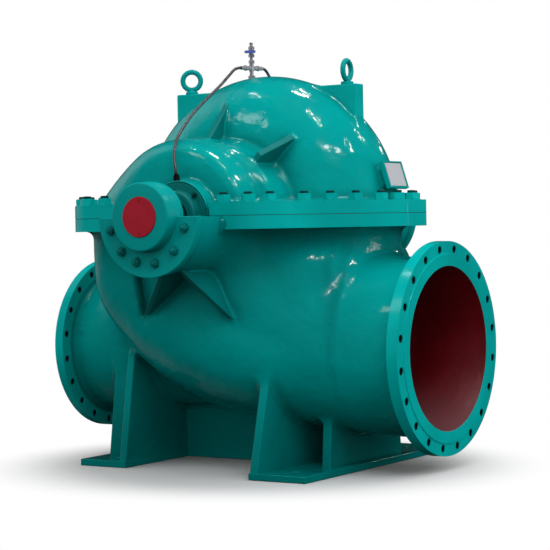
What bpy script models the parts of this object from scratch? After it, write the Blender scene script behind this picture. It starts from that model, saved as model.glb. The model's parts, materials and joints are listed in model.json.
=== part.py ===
"""A horizontally split, double-suction centrifugal pump, as a set of named solids.

Metres, +Z up. The origin is on the floor under the pump's middle. +X points to the suction
flange, -X to the discharge flange, and the shaft runs along Y with its free end at +Y.
"""
import math

import bmesh
import bpy
from mathutils import Matrix, Vector

# Driving dimensions.
SHAFT_Z = 0.940
NOZZLE_Z = 0.445
SUCTION_X = 0.762
DISCHARGE_X = -0.800
GAP = 0.0003
GASKET = 0.0014
SPLIT_FLANGE = 0.047

# Suction flange, 600 mm bore, and discharge flange, 500 mm bore.
SUCTION = {"bore": 0.298, "neck": 0.325, "rim": 0.390, "thick": 0.045, "pitch": 0.3625, "hole": 0.015}
DISCHARGE = {"bore": 0.240, "neck": 0.262, "rim": 0.335, "thick": 0.040, "pitch": 0.310, "hole": 0.013}
FLANGE_HOLES = 20
SUCTION_DEPTH = 0.46
DISCHARGE_DEPTH = 0.34

# Volute: a ring of round section about the shaft.
VOLUTE_RING = 0.282
VOLUTE_TUBE = 0.250

# Stations of the suction bowl: x, half width, height of the widest level, drop below it, rise above it.
BOWL = (
    (0.745, 0.325, 0.445, 0.325, 0.325),
    (0.620, 0.333, 0.447, 0.327, 0.328),
    (0.500, 0.360, 0.460, 0.333, 0.342),
    (0.400, 0.398, 0.475, 0.340, 0.372),
    (0.310, 0.437, 0.485, 0.340, 0.445),
    (0.250, 0.455, 0.500, 0.350, 0.600),
    (0.100, 0.477, 0.510, 0.345, 0.900),
    (-0.120, 0.490, 0.535, 0.330, 0.900),
    (-0.280, 0.494, 0.607, 0.337, 0.900),
    (-0.430, 0.498, 0.703, 0.313, 0.900),
    (-0.500, 0.470, 0.800, 0.315, 0.900),
    (-0.545, 0.370, 0.880, 0.305, 0.900),
    (-0.570, 0.255, 0.920, 0.270, 0.900),
    (-0.584, 0.090, 0.930, 0.150, 0.900),
)
# Fuller shoulder of the bowl under the split flange, in the same order of values.
SWELL = (
    (0.515, 0.135, 0.660, 0.040, 0.100),
    (0.490, 0.235, 0.660, 0.050, 0.150),
    (0.440, 0.315, 0.660, 0.050, 0.200),
    (0.380, 0.365, 0.660, 0.050, 0.232),
    (0.310, 0.398, 0.660, 0.050, 0.252),
    (0.250, 0.412, 0.660, 0.050, 0.262),
    (0.150, 0.425, 0.660, 0.050, 0.268),
)
# Upright oval wall between the bowl and the split flange: half sizes and foot.
COLLAR = (0.515, 0.440)
COLLAR_FOOT = 0.660
COLLAR_POINTS = 40

# Stations of the discharge neck, in the same order of values.
NECK = (
    (-0.775, 0.262, 0.445, 0.262, 0.262),
    (-0.660, 0.264, 0.445, 0.262, 0.262),
    (-0.500, 0.272, 0.465, 0.275, 0.275),
    (-0.300, 0.268, 0.490, 0.282, 0.282),
    (-0.050, 0.250, 0.550, 0.330, 0.330),
)
RING_POINTS = 36

# Suction chamber's spiral in the upper casing: angle from +X in degrees, radius.
CHAMBER_SPIRAL = ((0, 0.225), (15, 0.228), (73, 0.255), (103, 0.293), (137, 0.366), (153, 0.404),
                  (165, 0.448), (180, 0.532), (270, 0.340), (360, 0.225))
CHAMBER_FRONT_RADIUS = 0.215
CHAMBER_FRONT_Y = 0.540
CHAMBER_FULL_Y = 0.400
CHAMBER_TURNS = (90, 74, 54, 30, 0)
CHAMBER_BACK = ((-0.300, 0.90), (-0.200, 0.72))
SHOULDER_RADIUS = 0.262
SHOULDER_Y = 0.398

# Front half of the split flange's plan, as corners of x, y and rounding: the rear half is its mirror.
SPLIT_PLAN = (
    (0.640, -0.070, 0.035),
    (0.401, -0.484, 0.080),
    (0.365, -0.620, 0.165),
    (-0.497, -0.620, 0.150),
    (-0.648, -0.070, 0.030),
)

# Shaft line, all measured from the pump's middle along Y.
SHAFT_R = 0.045
SLEEVE_R = 0.056
STUFFING_R = 0.128
STUFFING_Y = 0.595
GLAND_Y = 0.630
GLAND_R = 0.092
GLAND_NOTCH = 0.146
TROUGH_OUT = 0.200
TROUGH_IN = 0.158
TROUGH_WALL_Y = (0.7197, 0.7597)
HOUSING_R = 0.1207
HOUSING_Y = (0.695, 0.836)
HOUSING_BACK = 0.740
HOUSING_NOSE_R = 0.085
HOUSING_LIP = (0.760, 0.790)
HOUSING_LIP_R = 0.213
DISC_R = 0.0708
SHAFT_END_Y = 1.030

# Gussets under the bearing brackets, heights from the shaft line.
GUSSET_TOP = -0.19
GUSSET_FOOT = -0.35
GUSSET_OUT = 0.700
GUSSET_HALF = 0.0125

# Feet: x from and to, half length, and their upright webs.
SOLE = 0.025
LEFT_FOOT = (-0.607, -0.393, 0.430)
RIGHT_FOOT = (0.220, 0.460, 0.520)
WEB = 0.033
OUTER_WEB_X = (0.374, 0.410)
OUTER_WEB_FOOT = 0.268
OUTER_WEB_HEAD = 0.250
ANCHOR_HOLE = 0.014
ANCHORS = ((-0.505, 0.345), (0.360, 0.420))

# Lifting lugs and eyebolts.
LUG_TOP = 1.423
LUG_OUT_X = 0.407
LUG_HALF = 0.028
EYE_X = 0.353
EYE_RING = 0.035
EYE_WIRE = 0.010
EYE_CENTRE_Z = 1.476

# Nameplate's boss on the suction side.
PLATE_SEAT = (0.530, 0.0, 1.0745)
PLATE_LEAN = 17.6
PLATE_BOSS = (0.071, 0.052)
PLATE_FOOT = (0.046, 0.036)

# Vent and flush fittings on the crown.
VENT_X = -0.071
VENT_SEAT_Z = 1.4671
VENT_ARM_Z = VENT_SEAT_Z + 0.042
ARM_REACH = 0.022
ARM_DIR = (0.35, 0.937)
VALVE_Z = VENT_SEAT_Z + 0.104
VALVE_DIR = (0.30, -0.954)

# Flush hoses, from the cross to a stuffing box: x, distance from the middle, z.
HOSE_R = 0.0055
FRONT_ROUTE = (
    (-0.0890, 0.048, 1.5091), (-0.0911, 0.0536, 1.5091), (-0.0925, 0.085, 1.5010),
    (-0.0908, 0.125, 1.4764), (-0.0945, 0.175, 1.4391),
    (-0.1001, 0.235, 1.3981), (-0.1024, 0.300, 1.3571), (-0.0990, 0.370, 1.3126), (-0.0805, 0.455, 1.2597),
    (-0.0649, 0.510, 1.2239), (-0.0485, 0.550, 1.1855), (-0.0335, 0.574, 1.1442), (-0.0230, 0.583, 1.1080),
    (-0.0210, 0.583, 1.0935),
)
REAR_ROUTE = (
    (-0.0530, 0.048, 1.5091), (-0.0509, 0.0536, 1.5091), (-0.0540, 0.078, 1.5000),
    (-0.0590, 0.110, 1.4790), (-0.0640, 0.175, 1.4340),
    (-0.0680, 0.235, 1.3940), (-0.0690, 0.300, 1.3530), (-0.0660, 0.370, 1.3090), (-0.0580, 0.455, 1.2560),
    (-0.0490, 0.510, 1.2190), (-0.0390, 0.550, 1.1830), (-0.0290, 0.574, 1.1442), (-0.0230, 0.583, 1.1080),
    (-0.0210, 0.583, 1.0935),
)

# Half the slot between the two gaskets, which clears the shaft's sleeves.
GASKET_IN_X = 0.076

TEAL = (0.0, 0.185, 0.150)
RED = (0.28, 0.018, 0.025)
STEEL = (0.55, 0.55, 0.56)
PLATE_GREY = (0.62, 0.64, 0.66)
BLUE = (0.05, 0.10, 0.45)
BLACK = (0.02, 0.02, 0.02)


def clear_scene():
    for item in list(bpy.data.objects):
        bpy.data.objects.remove(item, do_unlink=True)


def new_collection(name):
    group = bpy.data.collections.new(name)
    bpy.context.scene.collection.children.link(group)
    return group


def finish_of(name, colour, roughness, metallic):
    material = bpy.data.materials.new(name)
    material.use_nodes = True
    shader = material.node_tree.nodes["Principled BSDF"]
    shader.inputs["Base Color"].default_value = (*colour, 1.0)
    shader.inputs["Roughness"].default_value = roughness
    shader.inputs["Metallic"].default_value = metallic
    return material


clear_scene()
PARTS = new_collection("double_suction_pump")
TOOLS = new_collection("cutters")


def shape(name, mesh):
    """An object in the cutters' collection, until node() makes it a part."""
    item = bpy.data.objects.new(name, mesh)
    TOOLS.objects.link(item)
    item.hide_render = True
    item.display_type = "WIRE"
    return item


def from_bmesh(name, form):
    mesh = bpy.data.meshes.new(name)
    form.to_mesh(mesh)
    form.free()
    return shape(name, mesh)


def node(item, name, colour, roughness=0.3, metallic=0.0):
    """Makes a shape a part: its name, its finish and its place in the parts' collection."""
    TOOLS.objects.unlink(item)
    PARTS.objects.link(item)
    item.name = name
    item.hide_render = False
    item.display_type = "TEXTURED"
    material = finish_of(name + "_finish", colour, roughness, metallic)
    item.data.materials.clear()
    item.data.materials.append(material)
    return item


def block(name, low, high):
    form = bmesh.new()
    size = Vector(high) - Vector(low)
    middle = (Vector(high) + Vector(low)) / 2
    bmesh.ops.create_cube(form, size=1.0, matrix=Matrix.Translation(middle) @ Matrix.Diagonal((*size, 1.0)))
    return from_bmesh(name, form)


def rod(name, start, end, radius, sides=24, end_radius=None):
    """A cylinder or cone between two points."""
    start = Vector(start)
    end = Vector(end)
    turn = (end - start).to_track_quat("Z", "Y").to_matrix().to_4x4()
    place = Matrix.Translation((start + end) / 2) @ turn
    form = bmesh.new()
    bmesh.ops.create_cone(form, cap_ends=True, segments=sides, radius1=radius,
                          radius2=radius if end_radius is None else end_radius,
                          depth=(end - start).length, matrix=place)
    return from_bmesh(name, form)


def turned(name, profile, centre, axis="Y", steps=48):
    """A profile of (radius, height) points, top to bottom, turned about the axis."""
    mesh = bpy.data.meshes.new(name)
    points = [(radius, 0.0, height) for radius, height in profile]
    closed = profile[0][0] > 0
    edges = [(i, i + 1) for i in range(len(points) - 1)]
    if closed:
        edges.append((len(points) - 1, 0))
    mesh.from_pydata(points, edges, [])
    item = shape(name, mesh)
    item.location = centre
    item.rotation_euler = {"X": (0, math.pi / 2, 0), "Y": (-math.pi / 2, 0, 0), "Z": (0, 0, 0)}[axis]
    screw = item.modifiers.new("turn", "SCREW")
    screw.steps = steps
    screw.render_steps = steps
    screw.use_merge_vertices = True
    screw.merge_threshold = 0.0001
    screw.use_normal_calculate = True
    return item


def baked(item):
    """The shape with its modifiers worked in, as a plain mesh in world space."""
    bpy.context.view_layer.update()
    evaluated = item.evaluated_get(bpy.context.evaluated_depsgraph_get())
    mesh = bpy.data.meshes.new_from_object(evaluated)
    mesh.transform(item.matrix_world)
    form = bmesh.new()
    form.from_mesh(mesh)
    bmesh.ops.remove_doubles(form, verts=form.verts, dist=0.00005)
    bmesh.ops.recalc_face_normals(form, faces=form.faces)
    name = item.name
    bpy.data.objects.remove(item, do_unlink=True)
    return from_bmesh(name, form)


def plate(name, outline, low, high, place=None):
    """A flat outline of (x, y) points, filled and extruded between two heights."""
    curve = bpy.data.curves.new(name, "CURVE")
    curve.dimensions = "2D"
    curve.fill_mode = "BOTH"
    curve.extrude = (high - low) / 2
    line = curve.splines.new("POLY")
    line.points.add(len(outline) - 1)
    for point, (x, y) in zip(line.points, outline):
        point.co = (x, y, 0.0, 1.0)
    line.use_cyclic_u = True
    item = bpy.data.objects.new(name, curve)
    TOOLS.objects.link(item)
    lift = Matrix.Translation((0.0, 0.0, (low + high) / 2))
    item.matrix_world = (place or Matrix.Identity(4)) @ lift
    return baked(item)


def tube(name, points, radius, resolution=2):
    """A round tube with filled ends along a chain of points."""
    curve = bpy.data.curves.new(name, "CURVE")
    curve.dimensions = "3D"
    curve.bevel_depth = radius
    curve.bevel_resolution = resolution
    curve.use_fill_caps = True
    line = curve.splines.new("POLY")
    line.points.add(len(points) - 1)
    for point, place in zip(line.points, points):
        point.co = (*place, 1.0)
    item = bpy.data.objects.new(name, curve)
    TOOLS.objects.link(item)
    return baked(item)


def rounded(corners, radii, steps=4):
    """An outline with each corner replaced by an arc of its own radius."""
    outline = []
    count = len(corners)
    for i, (corner, radius) in enumerate(zip(corners, radii)):
        here = Vector(corner)
        before = (Vector(corners[i - 1]) - here).normalized()
        after = (Vector(corners[(i + 1) % count]) - here).normalized()
        half = before.angle(after) / 2
        centre = here + (before + after).normalized() * (radius / math.sin(half))
        first = here + before * (radius / math.tan(half)) - centre
        last = here + after * (radius / math.tan(half)) - centre
        for k in range(steps + 1):
            spoke = first.lerp(last, k / steps).normalized() * radius
            outline.append(tuple(centre + spoke))
    return outline


def smooth_value(keys, t):
    """A smooth curve through (t, value) keys sorted by t, with flat ends."""
    keys = sorted(keys)
    if t <= keys[0][0]:
        return keys[0][1]
    for i in range(len(keys) - 1):
        t0, v0 = keys[i]
        t1, v1 = keys[i + 1]
        if t <= t1:
            s0 = (v1 - keys[i - 1][1]) / (t1 - keys[i - 1][0]) if i else (v1 - v0) / (t1 - t0)
            s1 = (keys[i + 2][1] - v0) / (keys[i + 2][0] - t0) if i + 2 < len(keys) else (v1 - v0) / (t1 - t0)
            u = (t - t0) / (t1 - t0)
            step = t1 - t0
            return ((2 * u ** 3 - 3 * u ** 2 + 1) * v0 + (u ** 3 - 2 * u ** 2 + u) * step * s0
                    + (3 * u ** 2 - 2 * u ** 3) * v1 + (u ** 3 - u ** 2) * step * s1)
    return keys[-1][1]


def loft(name, rings):
    """A closed skin over rings of equally many points."""
    form = bmesh.new()
    loops = [[form.verts.new(point) for point in ring] for ring in rings]
    count = len(loops[0])
    for near, far in zip(loops, loops[1:]):
        for i in range(count):
            j = (i + 1) % count
            form.faces.new((near[i], near[j], far[j], far[i]))
    form.faces.new(loops[0])
    form.faces.new(loops[-1])
    bmesh.ops.triangulate(form, faces=form.faces)
    bmesh.ops.recalc_face_normals(form, faces=form.faces)
    return from_bmesh(name, form)


def oval_loft(name, stations, squareness, between=2):
    """Ovals across X, smoothly blended between the stations, each with its own drop and rise."""
    xs = [row[0] for row in stations]
    places = []
    for x0, x1 in zip(xs, xs[1:]):
        places += [x0 + (x1 - x0) * k / between for k in range(between)]
    places.append(xs[-1])
    rings = []
    for x in places:
        tracks = [[(row[0], row[k]) for row in stations] for k in (1, 2, 3, 4)]
        half, middle, drop, rise = (smooth_value(track, x) for track in tracks)
        ring = []
        for i in range(RING_POINTS):
            angle = 2 * math.pi * (i + 0.5) / RING_POINTS
            c = math.cos(angle)
            s = math.sin(angle)
            y = half * math.copysign(abs(c) ** (2 / squareness), c)
            z = middle + (rise if s > 0 else -drop) * abs(s) ** (2 / squareness)
            ring.append((x, y, z))
        rings.append(ring)
    return loft(name, rings)


def combine(body, others, operation):
    """Adds a Boolean for each other shape."""
    for other in others:
        step = body.modifiers.new(other.name, "BOOLEAN")
        step.operation = operation
        step.solver = "EXACT"
        step.object = other
    return body


def split_outline():
    rear = [(x, -y, radius) for x, y, radius in reversed(SPLIT_PLAN)]
    corners = list(SPLIT_PLAN) + rear
    return rounded([corner[:2] for corner in corners], [corner[2] for corner in corners], 4)


def volute_ring(name):
    steps = 10
    profile = [(0.0, VOLUTE_TUBE)]
    for k in range(steps + 1):
        angle = math.pi / 2 - math.pi * k / steps
        profile.append((VOLUTE_RING + VOLUTE_TUBE * math.cos(angle), VOLUTE_TUBE * math.sin(angle)))
    profile.append((0.0, -VOLUTE_TUBE))
    return baked(turned(name, profile, (0, 0, SHAFT_Z), "Y", 56))


def suction_chamber(name):
    """The two suction chambers over the impeller's eyes, one spiral along the shaft."""
    rings = []
    nose = CHAMBER_FRONT_Y - CHAMBER_FULL_Y
    turns = [math.radians(turn) for turn in CHAMBER_TURNS]
    stations = [(-CHAMBER_FULL_Y - nose * math.sin(turn), math.cos(turn)) for turn in turns]
    stations += CHAMBER_BACK
    stations += [(-y, share) for y, share in reversed(stations)]
    for y, share in stations:
        ring = []
        for i in range(RING_POINTS):
            degrees = 360 * (i + 0.5) / RING_POINTS
            angle = math.radians(degrees)
            outer = smooth_value(CHAMBER_SPIRAL, degrees)
            radius = CHAMBER_FRONT_RADIUS * (1 - share) + outer * share
            ring.append((radius * math.cos(angle), y, SHAFT_Z + radius * math.sin(angle)))
        rings.append(ring)
    return loft(name, rings)


def shoulder(name):
    """The low round web between a chamber and the volute."""
    return rod(name, (0, -SHOULDER_Y, SHAFT_Z), (0, SHOULDER_Y, SHAFT_Z), SHOULDER_RADIUS, 40)


def flange_body(name, x, inward, size):
    """A pipe flange with a short neck, as one turned ring about X, without its bolt holes."""
    thick = size["thick"]
    profile = [(0.0, 0.0), (size["rim"], 0.0), (size["rim"], -thick), (size["neck"] + 0.018, -thick),
               (size["neck"], -thick - 0.03), (0.0, -thick - 0.03)]
    item = turned(name, profile, (x, 0, NOZZLE_Z), "X", 48)
    if inward > 0:
        item.rotation_euler = (0, -math.pi / 2, 0)
    return baked(item)


def flange_holes(name, x, inward, size):
    """Twenty bolt holes, none of them on the upright centre line."""
    low = x - inward * 0.02
    high = x + inward * (size["thick"] + 0.02)
    holes = []
    for i in range(FLANGE_HOLES):
        angle = 2 * math.pi * (i + 0.5) / FLANGE_HOLES
        y = size["pitch"] * math.cos(angle)
        z = NOZZLE_Z + size["pitch"] * math.sin(angle)
        holes.append(rod(f"{name}_{i}", (low, y, z), (high, y, z), size["hole"], 10))
    return holes


def bore_tool(name, x, inward, radius, depth):
    """A round passage with a domed inner end."""
    profile = [(0.0, 0.03), (radius, 0.03), (radius, -depth + radius * 0.6)]
    for k in range(1, 4):
        angle = math.pi / 2 * k / 4
        profile.append((radius * math.cos(angle), -depth + radius * 0.6 - radius * 0.6 * math.sin(angle)))
    profile.append((0.0, -depth))
    item = turned(name, profile, (x, 0, NOZZLE_Z), "X", 36)
    if inward > 0:
        item.rotation_euler = (0, -math.pi / 2, 0)
    return baked(item)


def web_plate(name, corners, x_low, x_high):
    """An upright plate across X from (y, z) corners."""
    frame = Matrix(((0, 0, 1, 0), (1, 0, 0, 0), (0, 1, 0, 0), (0, 0, 0, 1)))
    return plate(name, corners, x_low, x_high, frame)


def cross_plate(name, corners, y_low, y_high):
    """An upright plate across Y from (x, z) corners."""
    frame = Matrix(((1, 0, 0, 0), (0, 0, -1, 0), (0, 1, 0, 0), (0, 0, 0, 1)))
    return plate(name, corners, -y_high, -y_low, frame)


def tapered(foot, head, low, high):
    """Corners of an upright plate that narrows from its foot to its head."""
    return [(-foot, low), (foot, low), (head, high), (-head, high)]


def feet():
    """Two long feet, their webs and the wall that ties them."""
    pieces = []
    for label, (x0, x1, reach) in (("left", LEFT_FOOT), ("right", RIGHT_FOOT)):
        pieces.append(block(label + "_sole", (x0, -reach, 0.0), (x1, reach, SOLE)))
    left_in = LEFT_FOOT[1]
    right_in = RIGHT_FOOT[0]
    low = SOLE / 2
    pieces.append(web_plate("left_web", tapered(LEFT_FOOT[2] - 0.004, 0.330, low, 0.56),
                            left_in - WEB, left_in - 0.002))
    pieces.append(web_plate("right_web", tapered(RIGHT_FOOT[2] - 0.004, 0.400, low, 0.45),
                            right_in + 0.002, right_in + WEB + 0.002))
    pieces.append(web_plate("outer_web", tapered(OUTER_WEB_FOOT, OUTER_WEB_HEAD, low, 0.22),
                            OUTER_WEB_X[0], OUTER_WEB_X[1]))
    pieces.append(block("tie_wall", (left_in - 0.01, -0.02, 0.0), (right_in + 0.01, 0.02, 0.32)))
    for side in (-1, 1):
        y = side * 0.243
        pieces.append(cross_plate("left_rib", [(-0.600, low), (left_in - 0.01, low), (left_in - 0.01, 0.42),
                                               (-0.555, 0.42)], y - 0.015, y + 0.015))
    return pieces


def anchor_holes():
    holes = []
    for x, y in ANCHORS:
        for side in (-1, 1):
            holes.append(rod("anchor", (x, side * y, -0.02), (x, side * y, SOLE + 0.02), ANCHOR_HOLE, 8))
    return holes


def along_shaft(name, near, far, radius, side, sides=40):
    """A cylinder on the shaft's axis between two distances from the middle, on one side."""
    return rod(name, (0, side * near, SHAFT_Z), (0, side * far, SHAFT_Z), radius, sides)


def gusset(name, side, top_x, foot_x):
    """A triangular rib under the bearing bracket, leaning outwards from its top to its foot."""
    lean = (foot_x - top_x) / (GUSSET_TOP - GUSSET_FOOT)
    corners = [(-GUSSET_OUT, GUSSET_TOP + 0.02), (-0.43, GUSSET_TOP + 0.02), (-0.43, GUSSET_FOOT - 0.07)]
    shear = Matrix(((1, 0, -lean, top_x + lean * GUSSET_TOP), (0, 1, 0, 0), (0, 0, 1, 0), (0, 0, 0, 1)))
    frame = Matrix(((0, 0, 1, 0), (1, 0, 0, 0), (0, 1, 0, 0), (0, 0, 0, 1)))
    mirror = Matrix.Diagonal((1, -side, 1, 1))
    body = plate(name, corners, -GUSSET_HALF, GUSSET_HALF, frame)
    body.data.transform(Matrix.Translation((0, 0, SHAFT_Z)) @ mirror @ shear)
    return baked(body)


def collar(name):
    """The upright oval wall between the bowl and the split flange."""
    turns = [2 * math.pi * (i + 0.5) / COLLAR_POINTS for i in range(COLLAR_POINTS)]
    corners = [(COLLAR[0] * math.cos(turn), COLLAR[1] * math.sin(turn)) for turn in turns]
    return plate(name, corners, COLLAR_FOOT, SHAFT_Z - SPLIT_FLANGE + 0.010)


def lower_casing():
    body = plate("lower_casing", split_outline(), SHAFT_Z - 0.001 - SPLIT_FLANGE, SHAFT_Z - 0.001)
    adds = [oval_loft("bowl", BOWL, 2.2), oval_loft("neck", NECK, 2.0), volute_ring("volute_low")]
    adds += [oval_loft("swell", SWELL, 3.0), collar("collar")]
    adds += [flange_body("suction_flange", SUCTION_X, -1, SUCTION),
             flange_body("discharge_flange", DISCHARGE_X, 1, DISCHARGE)]
    adds += feet()
    for side in (-1, 1):
        adds.append(along_shaft("trough", 0.42, TROUGH_WALL_Y[1], TROUGH_OUT, side))
        adds.append(gusset("gusset_right", side, 0.050, 0.148))
        adds.append(gusset("gusset_left", side, -0.017, -0.219))
    combine(body, adds, "UNION")
    cuts = [block("above_split", (-1.2, -1.2, SHAFT_Z - 0.001), (1.2, 1.2, 2.0))]
    cuts.append(bore_tool("suction_bore", SUCTION_X, -1, SUCTION["bore"], SUCTION_DEPTH))
    cuts.append(bore_tool("discharge_bore", DISCHARGE_X, 1, DISCHARGE["bore"], DISCHARGE_DEPTH))
    cuts += flange_holes("suction_hole", SUCTION_X, -1, SUCTION)
    cuts += flange_holes("discharge_hole", DISCHARGE_X, 1, DISCHARGE)
    cuts += anchor_holes()
    for side in (-1, 1):
        cuts.append(along_shaft("trough_hollow", STUFFING_Y - 0.002, TROUGH_WALL_Y[0], TROUGH_IN, side, 32))
        cuts.append(along_shaft("housing_seat", 0.70, 0.80, HOUSING_R + GAP, side, 48))
        cuts.append(along_shaft("stuffing_hole", 0.50, 0.65, SLEEVE_R + 0.005, side, 32))
    cuts.append(along_shaft("shaft_hole", -0.55, 0.55, SLEEVE_R + 0.002, 1, 32))
    combine(body, cuts, "DIFFERENCE")
    return node(body, "lower_casing", TEAL)


def nameplate_seat():
    """Where the plate's boss stands, leaning back from upright."""
    return Matrix.Translation(PLATE_SEAT) @ Matrix.Rotation(math.radians(-PLATE_LEAN), 4, "Y")


def upper_casing():
    body = plate("upper_casing", split_outline(), SHAFT_Z + 0.001, SHAFT_Z + 0.001 + SPLIT_FLANGE)
    adds = [volute_ring("volute_high"), suction_chamber("chamber"), shoulder("shoulder")]
    for hand in (-1, 1):
        adds.append(block("lug", (min(hand * 0.20, hand * LUG_OUT_X), -LUG_HALF, 1.15),
                          (max(hand * 0.20, hand * LUG_OUT_X), LUG_HALF, LUG_TOP)))
    for side in (-1, 1):
        adds.append(along_shaft("stuffing_box", 0.45, STUFFING_Y, STUFFING_R, side))
        frame = Matrix(((0, 0, 1, 0), (1, 0, 0, 0), (0, 1, 0, 0), (0, 0, 0, 1)))
        place = Matrix.Translation((0, 0, SHAFT_Z)) @ Matrix.Diagonal((1, -side, 1, 1))
        crown = [(-0.15, 0.22), (-0.36, 0.22), (-0.36, 0.27), (-0.20, 0.435), (-0.10, 0.435)]
        adds.append(plate("crown_rib", crown, -0.06, -0.035, place @ frame))
        lean = Matrix.Rotation(math.radians(42), 4, "Y")
        slope = [(-0.15, 0.20), (-0.375, 0.20), (-0.375, 0.30), (-0.24, 0.385), (-0.15, 0.385)]
        adds.append(plate("side_rib", slope, -0.012, 0.012, place @ lean @ frame))
    tilt = nameplate_seat()
    face = Matrix(((0, 0, 1, 0), (1, 0, 0, 0), (0, 1, 0, 0), (0, 0, 0, 1)))
    for label, (half, rise), low, high in (("nameplate_foot", PLATE_FOOT, -0.10, 0.015),
                                           ("nameplate_boss", PLATE_BOSS, 0.008, 0.022)):
        corners = [(-half, -rise), (half, -rise), (half, rise), (-half, rise)]
        adds.append(plate(label, corners, low, high, tilt @ face))
    combine(body, adds, "UNION")
    cuts = [block("below_split", (-1.2, -1.2, 0.0), (1.2, 1.2, SHAFT_Z + 0.001))]
    cuts.append(along_shaft("shaft_hole_high", -0.55, 0.55, SLEEVE_R + 0.002, 1, 32))
    for side in (-1, 1):
        cuts.append(along_shaft("stuffing_hole_high", 0.50, 0.65, SLEEVE_R + 0.005, side, 32))
        cuts.append(along_shaft("gland_notch", STUFFING_Y - 0.002, 0.70, GLAND_NOTCH, side))
    for hand in (-1, 1):
        cuts.append(rod("eye_socket", (hand * EYE_X, 0, LUG_TOP - 0.04), (hand * EYE_X, 0, LUG_TOP + 0.02),
                        0.012 + GAP, 16))
    cuts.append(rod("vent_socket", (VENT_X, 0, VENT_SEAT_Z - 0.04), (VENT_X, 0, VENT_SEAT_Z + 0.02),
                    0.010 + GAP, 16))
    combine(body, cuts, "DIFFERENCE")
    return node(body, "upper_casing", TEAL)


def parting_gasket(word, hand):
    """One half of the thin joint sheet, on one side of the shaft."""
    body = plate("gasket", split_outline(), SHAFT_Z - GASKET / 2, SHAFT_Z + GASKET / 2)
    inner = -hand * GASKET_IN_X
    left, right = sorted((-hand, -inner))
    cut = block("gasket_side", (left, -1, SHAFT_Z - 0.01), (right, 1, SHAFT_Z + 0.01))
    notches = [along_shaft("gasket_notch", STUFFING_Y - 0.002, 0.70, TROUGH_IN, side) for side in (-1, 1)]
    combine(body, [cut] + notches, "DIFFERENCE")
    return node(body, word + "_parting_gasket", BLACK, 0.7)


def bearing_housing(word, side):
    """A round housing with a thinner nose, and a lip that bolts to the trough's end wall."""
    near, far = HOUSING_Y
    body = along_shaft(word + "_housing", HOUSING_BACK, far, HOUSING_R, side, 48)
    nose = along_shaft("housing_nose", near, HOUSING_BACK + 0.01, HOUSING_NOSE_R, side, 48)
    lip = along_shaft("housing_lip", HOUSING_LIP[0], HOUSING_LIP[1], HOUSING_LIP_R, side, 48)
    combine(lip, [block("lip_top", (-0.3, -1, SHAFT_Z), (0.3, 1, SHAFT_Z + 0.3))], "DIFFERENCE")
    combine(body, [baked(lip), nose], "UNION")
    cuts = [along_shaft("housing_hole", 0.60, far - 0.020, SHAFT_R + GAP, side, 32)]
    if side < 0:
        cuts.append(along_shaft("disc_seat", far - 0.004, far + 0.02, DISC_R + GAP, side, 40))
    else:
        cuts.append(along_shaft("seal_seat", far - 0.03, far + 0.02, 0.0575, side, 32))
    combine(body, cuts, "DIFFERENCE")
    return node(body, word + "_bearing_housing", TEAL)


def ring_about_shaft(name, rows, side, steps=36):
    """A ring from (radius, distance) rows, the farthest first, on one side of the middle."""
    if side < 0:
        rows = [(radius, -y) for radius, y in reversed(rows)]
    return baked(turned(name, rows, (0, 0, SHAFT_Z), "Y", steps))


def inner_cover(word, side):
    """The ring that closes the housing towards the pump."""
    outer = HOUSING_Y[0] - GAP
    inner = outer - 0.018
    rows = [(0.072, outer), (0.072, inner), (SHAFT_R + 0.0008, inner), (SHAFT_R + 0.0008, outer)]
    return node(ring_about_shaft(word + "_cover", rows, side), word + "_inner_cover", TEAL)


def gland(word, side):
    """The gland that closes a stuffing box: a flange with a nose in the box."""
    nose = STUFFING_Y - 0.030
    rows = [(GLAND_R, GLAND_Y + 0.006), (GLAND_R, GLAND_Y - 0.012), (SLEEVE_R + 0.0047, GLAND_Y - 0.012),
            (SLEEVE_R + 0.0047, nose), (SLEEVE_R + 0.0008, nose), (SLEEVE_R + 0.0008, GLAND_Y + 0.006)]
    return node(ring_about_shaft(word + "_gland_ring", rows, side), word + "_gland", STEEL, 0.4, 1.0)


def sleeve(word, side):
    """The shaft sleeve that runs in the packing."""
    rows = [(SLEEVE_R, 0.662), (SLEEVE_R, 0.470), (SHAFT_R + GAP, 0.470), (SHAFT_R + GAP, 0.662)]
    return node(ring_about_shaft(word + "_sleeve", rows, side), word + "_shaft_sleeve", STEEL, 0.3, 1.0)


def shaft():
    """The shaft, keyed at its free end, with its front end inside the front housing."""
    front = -(HOUSING_Y[1] - 0.024)
    rows = [(0.0, SHAFT_END_Y), (0.034, SHAFT_END_Y), (0.037, SHAFT_END_Y - 0.003), (0.037, 0.880),
            (SHAFT_R, 0.872), (SHAFT_R, front + 0.003), (SHAFT_R - 0.003, front), (0.0, front)]
    body = baked(turned("shaft_bar", rows, (0, 0, SHAFT_Z), "Y", 32))
    key = block("keyway", (-0.010, 0.900, SHAFT_Z + 0.030), (0.010, 1.010, SHAFT_Z + 0.06))
    combine(body, [key], "DIFFERENCE")
    return node(body, "shaft", STEEL, 0.25, 1.0)


def shaft_key():
    body = block("key", (-0.010 + GAP, 0.900 + GAP, SHAFT_Z + 0.030 + GAP),
                 (0.010 - GAP, 1.010 - GAP, SHAFT_Z + 0.043))
    return node(body, "shaft_key", STEEL, 0.35, 1.0)


def front_disc():
    """The red disc that closes the front bearing."""
    body = along_shaft("disc", HOUSING_Y[1] - 0.004 + GAP, HOUSING_Y[1] + 0.004, DISC_R, -1, 40)
    return node(body, "front_end_disc", RED, 0.35)


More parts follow.
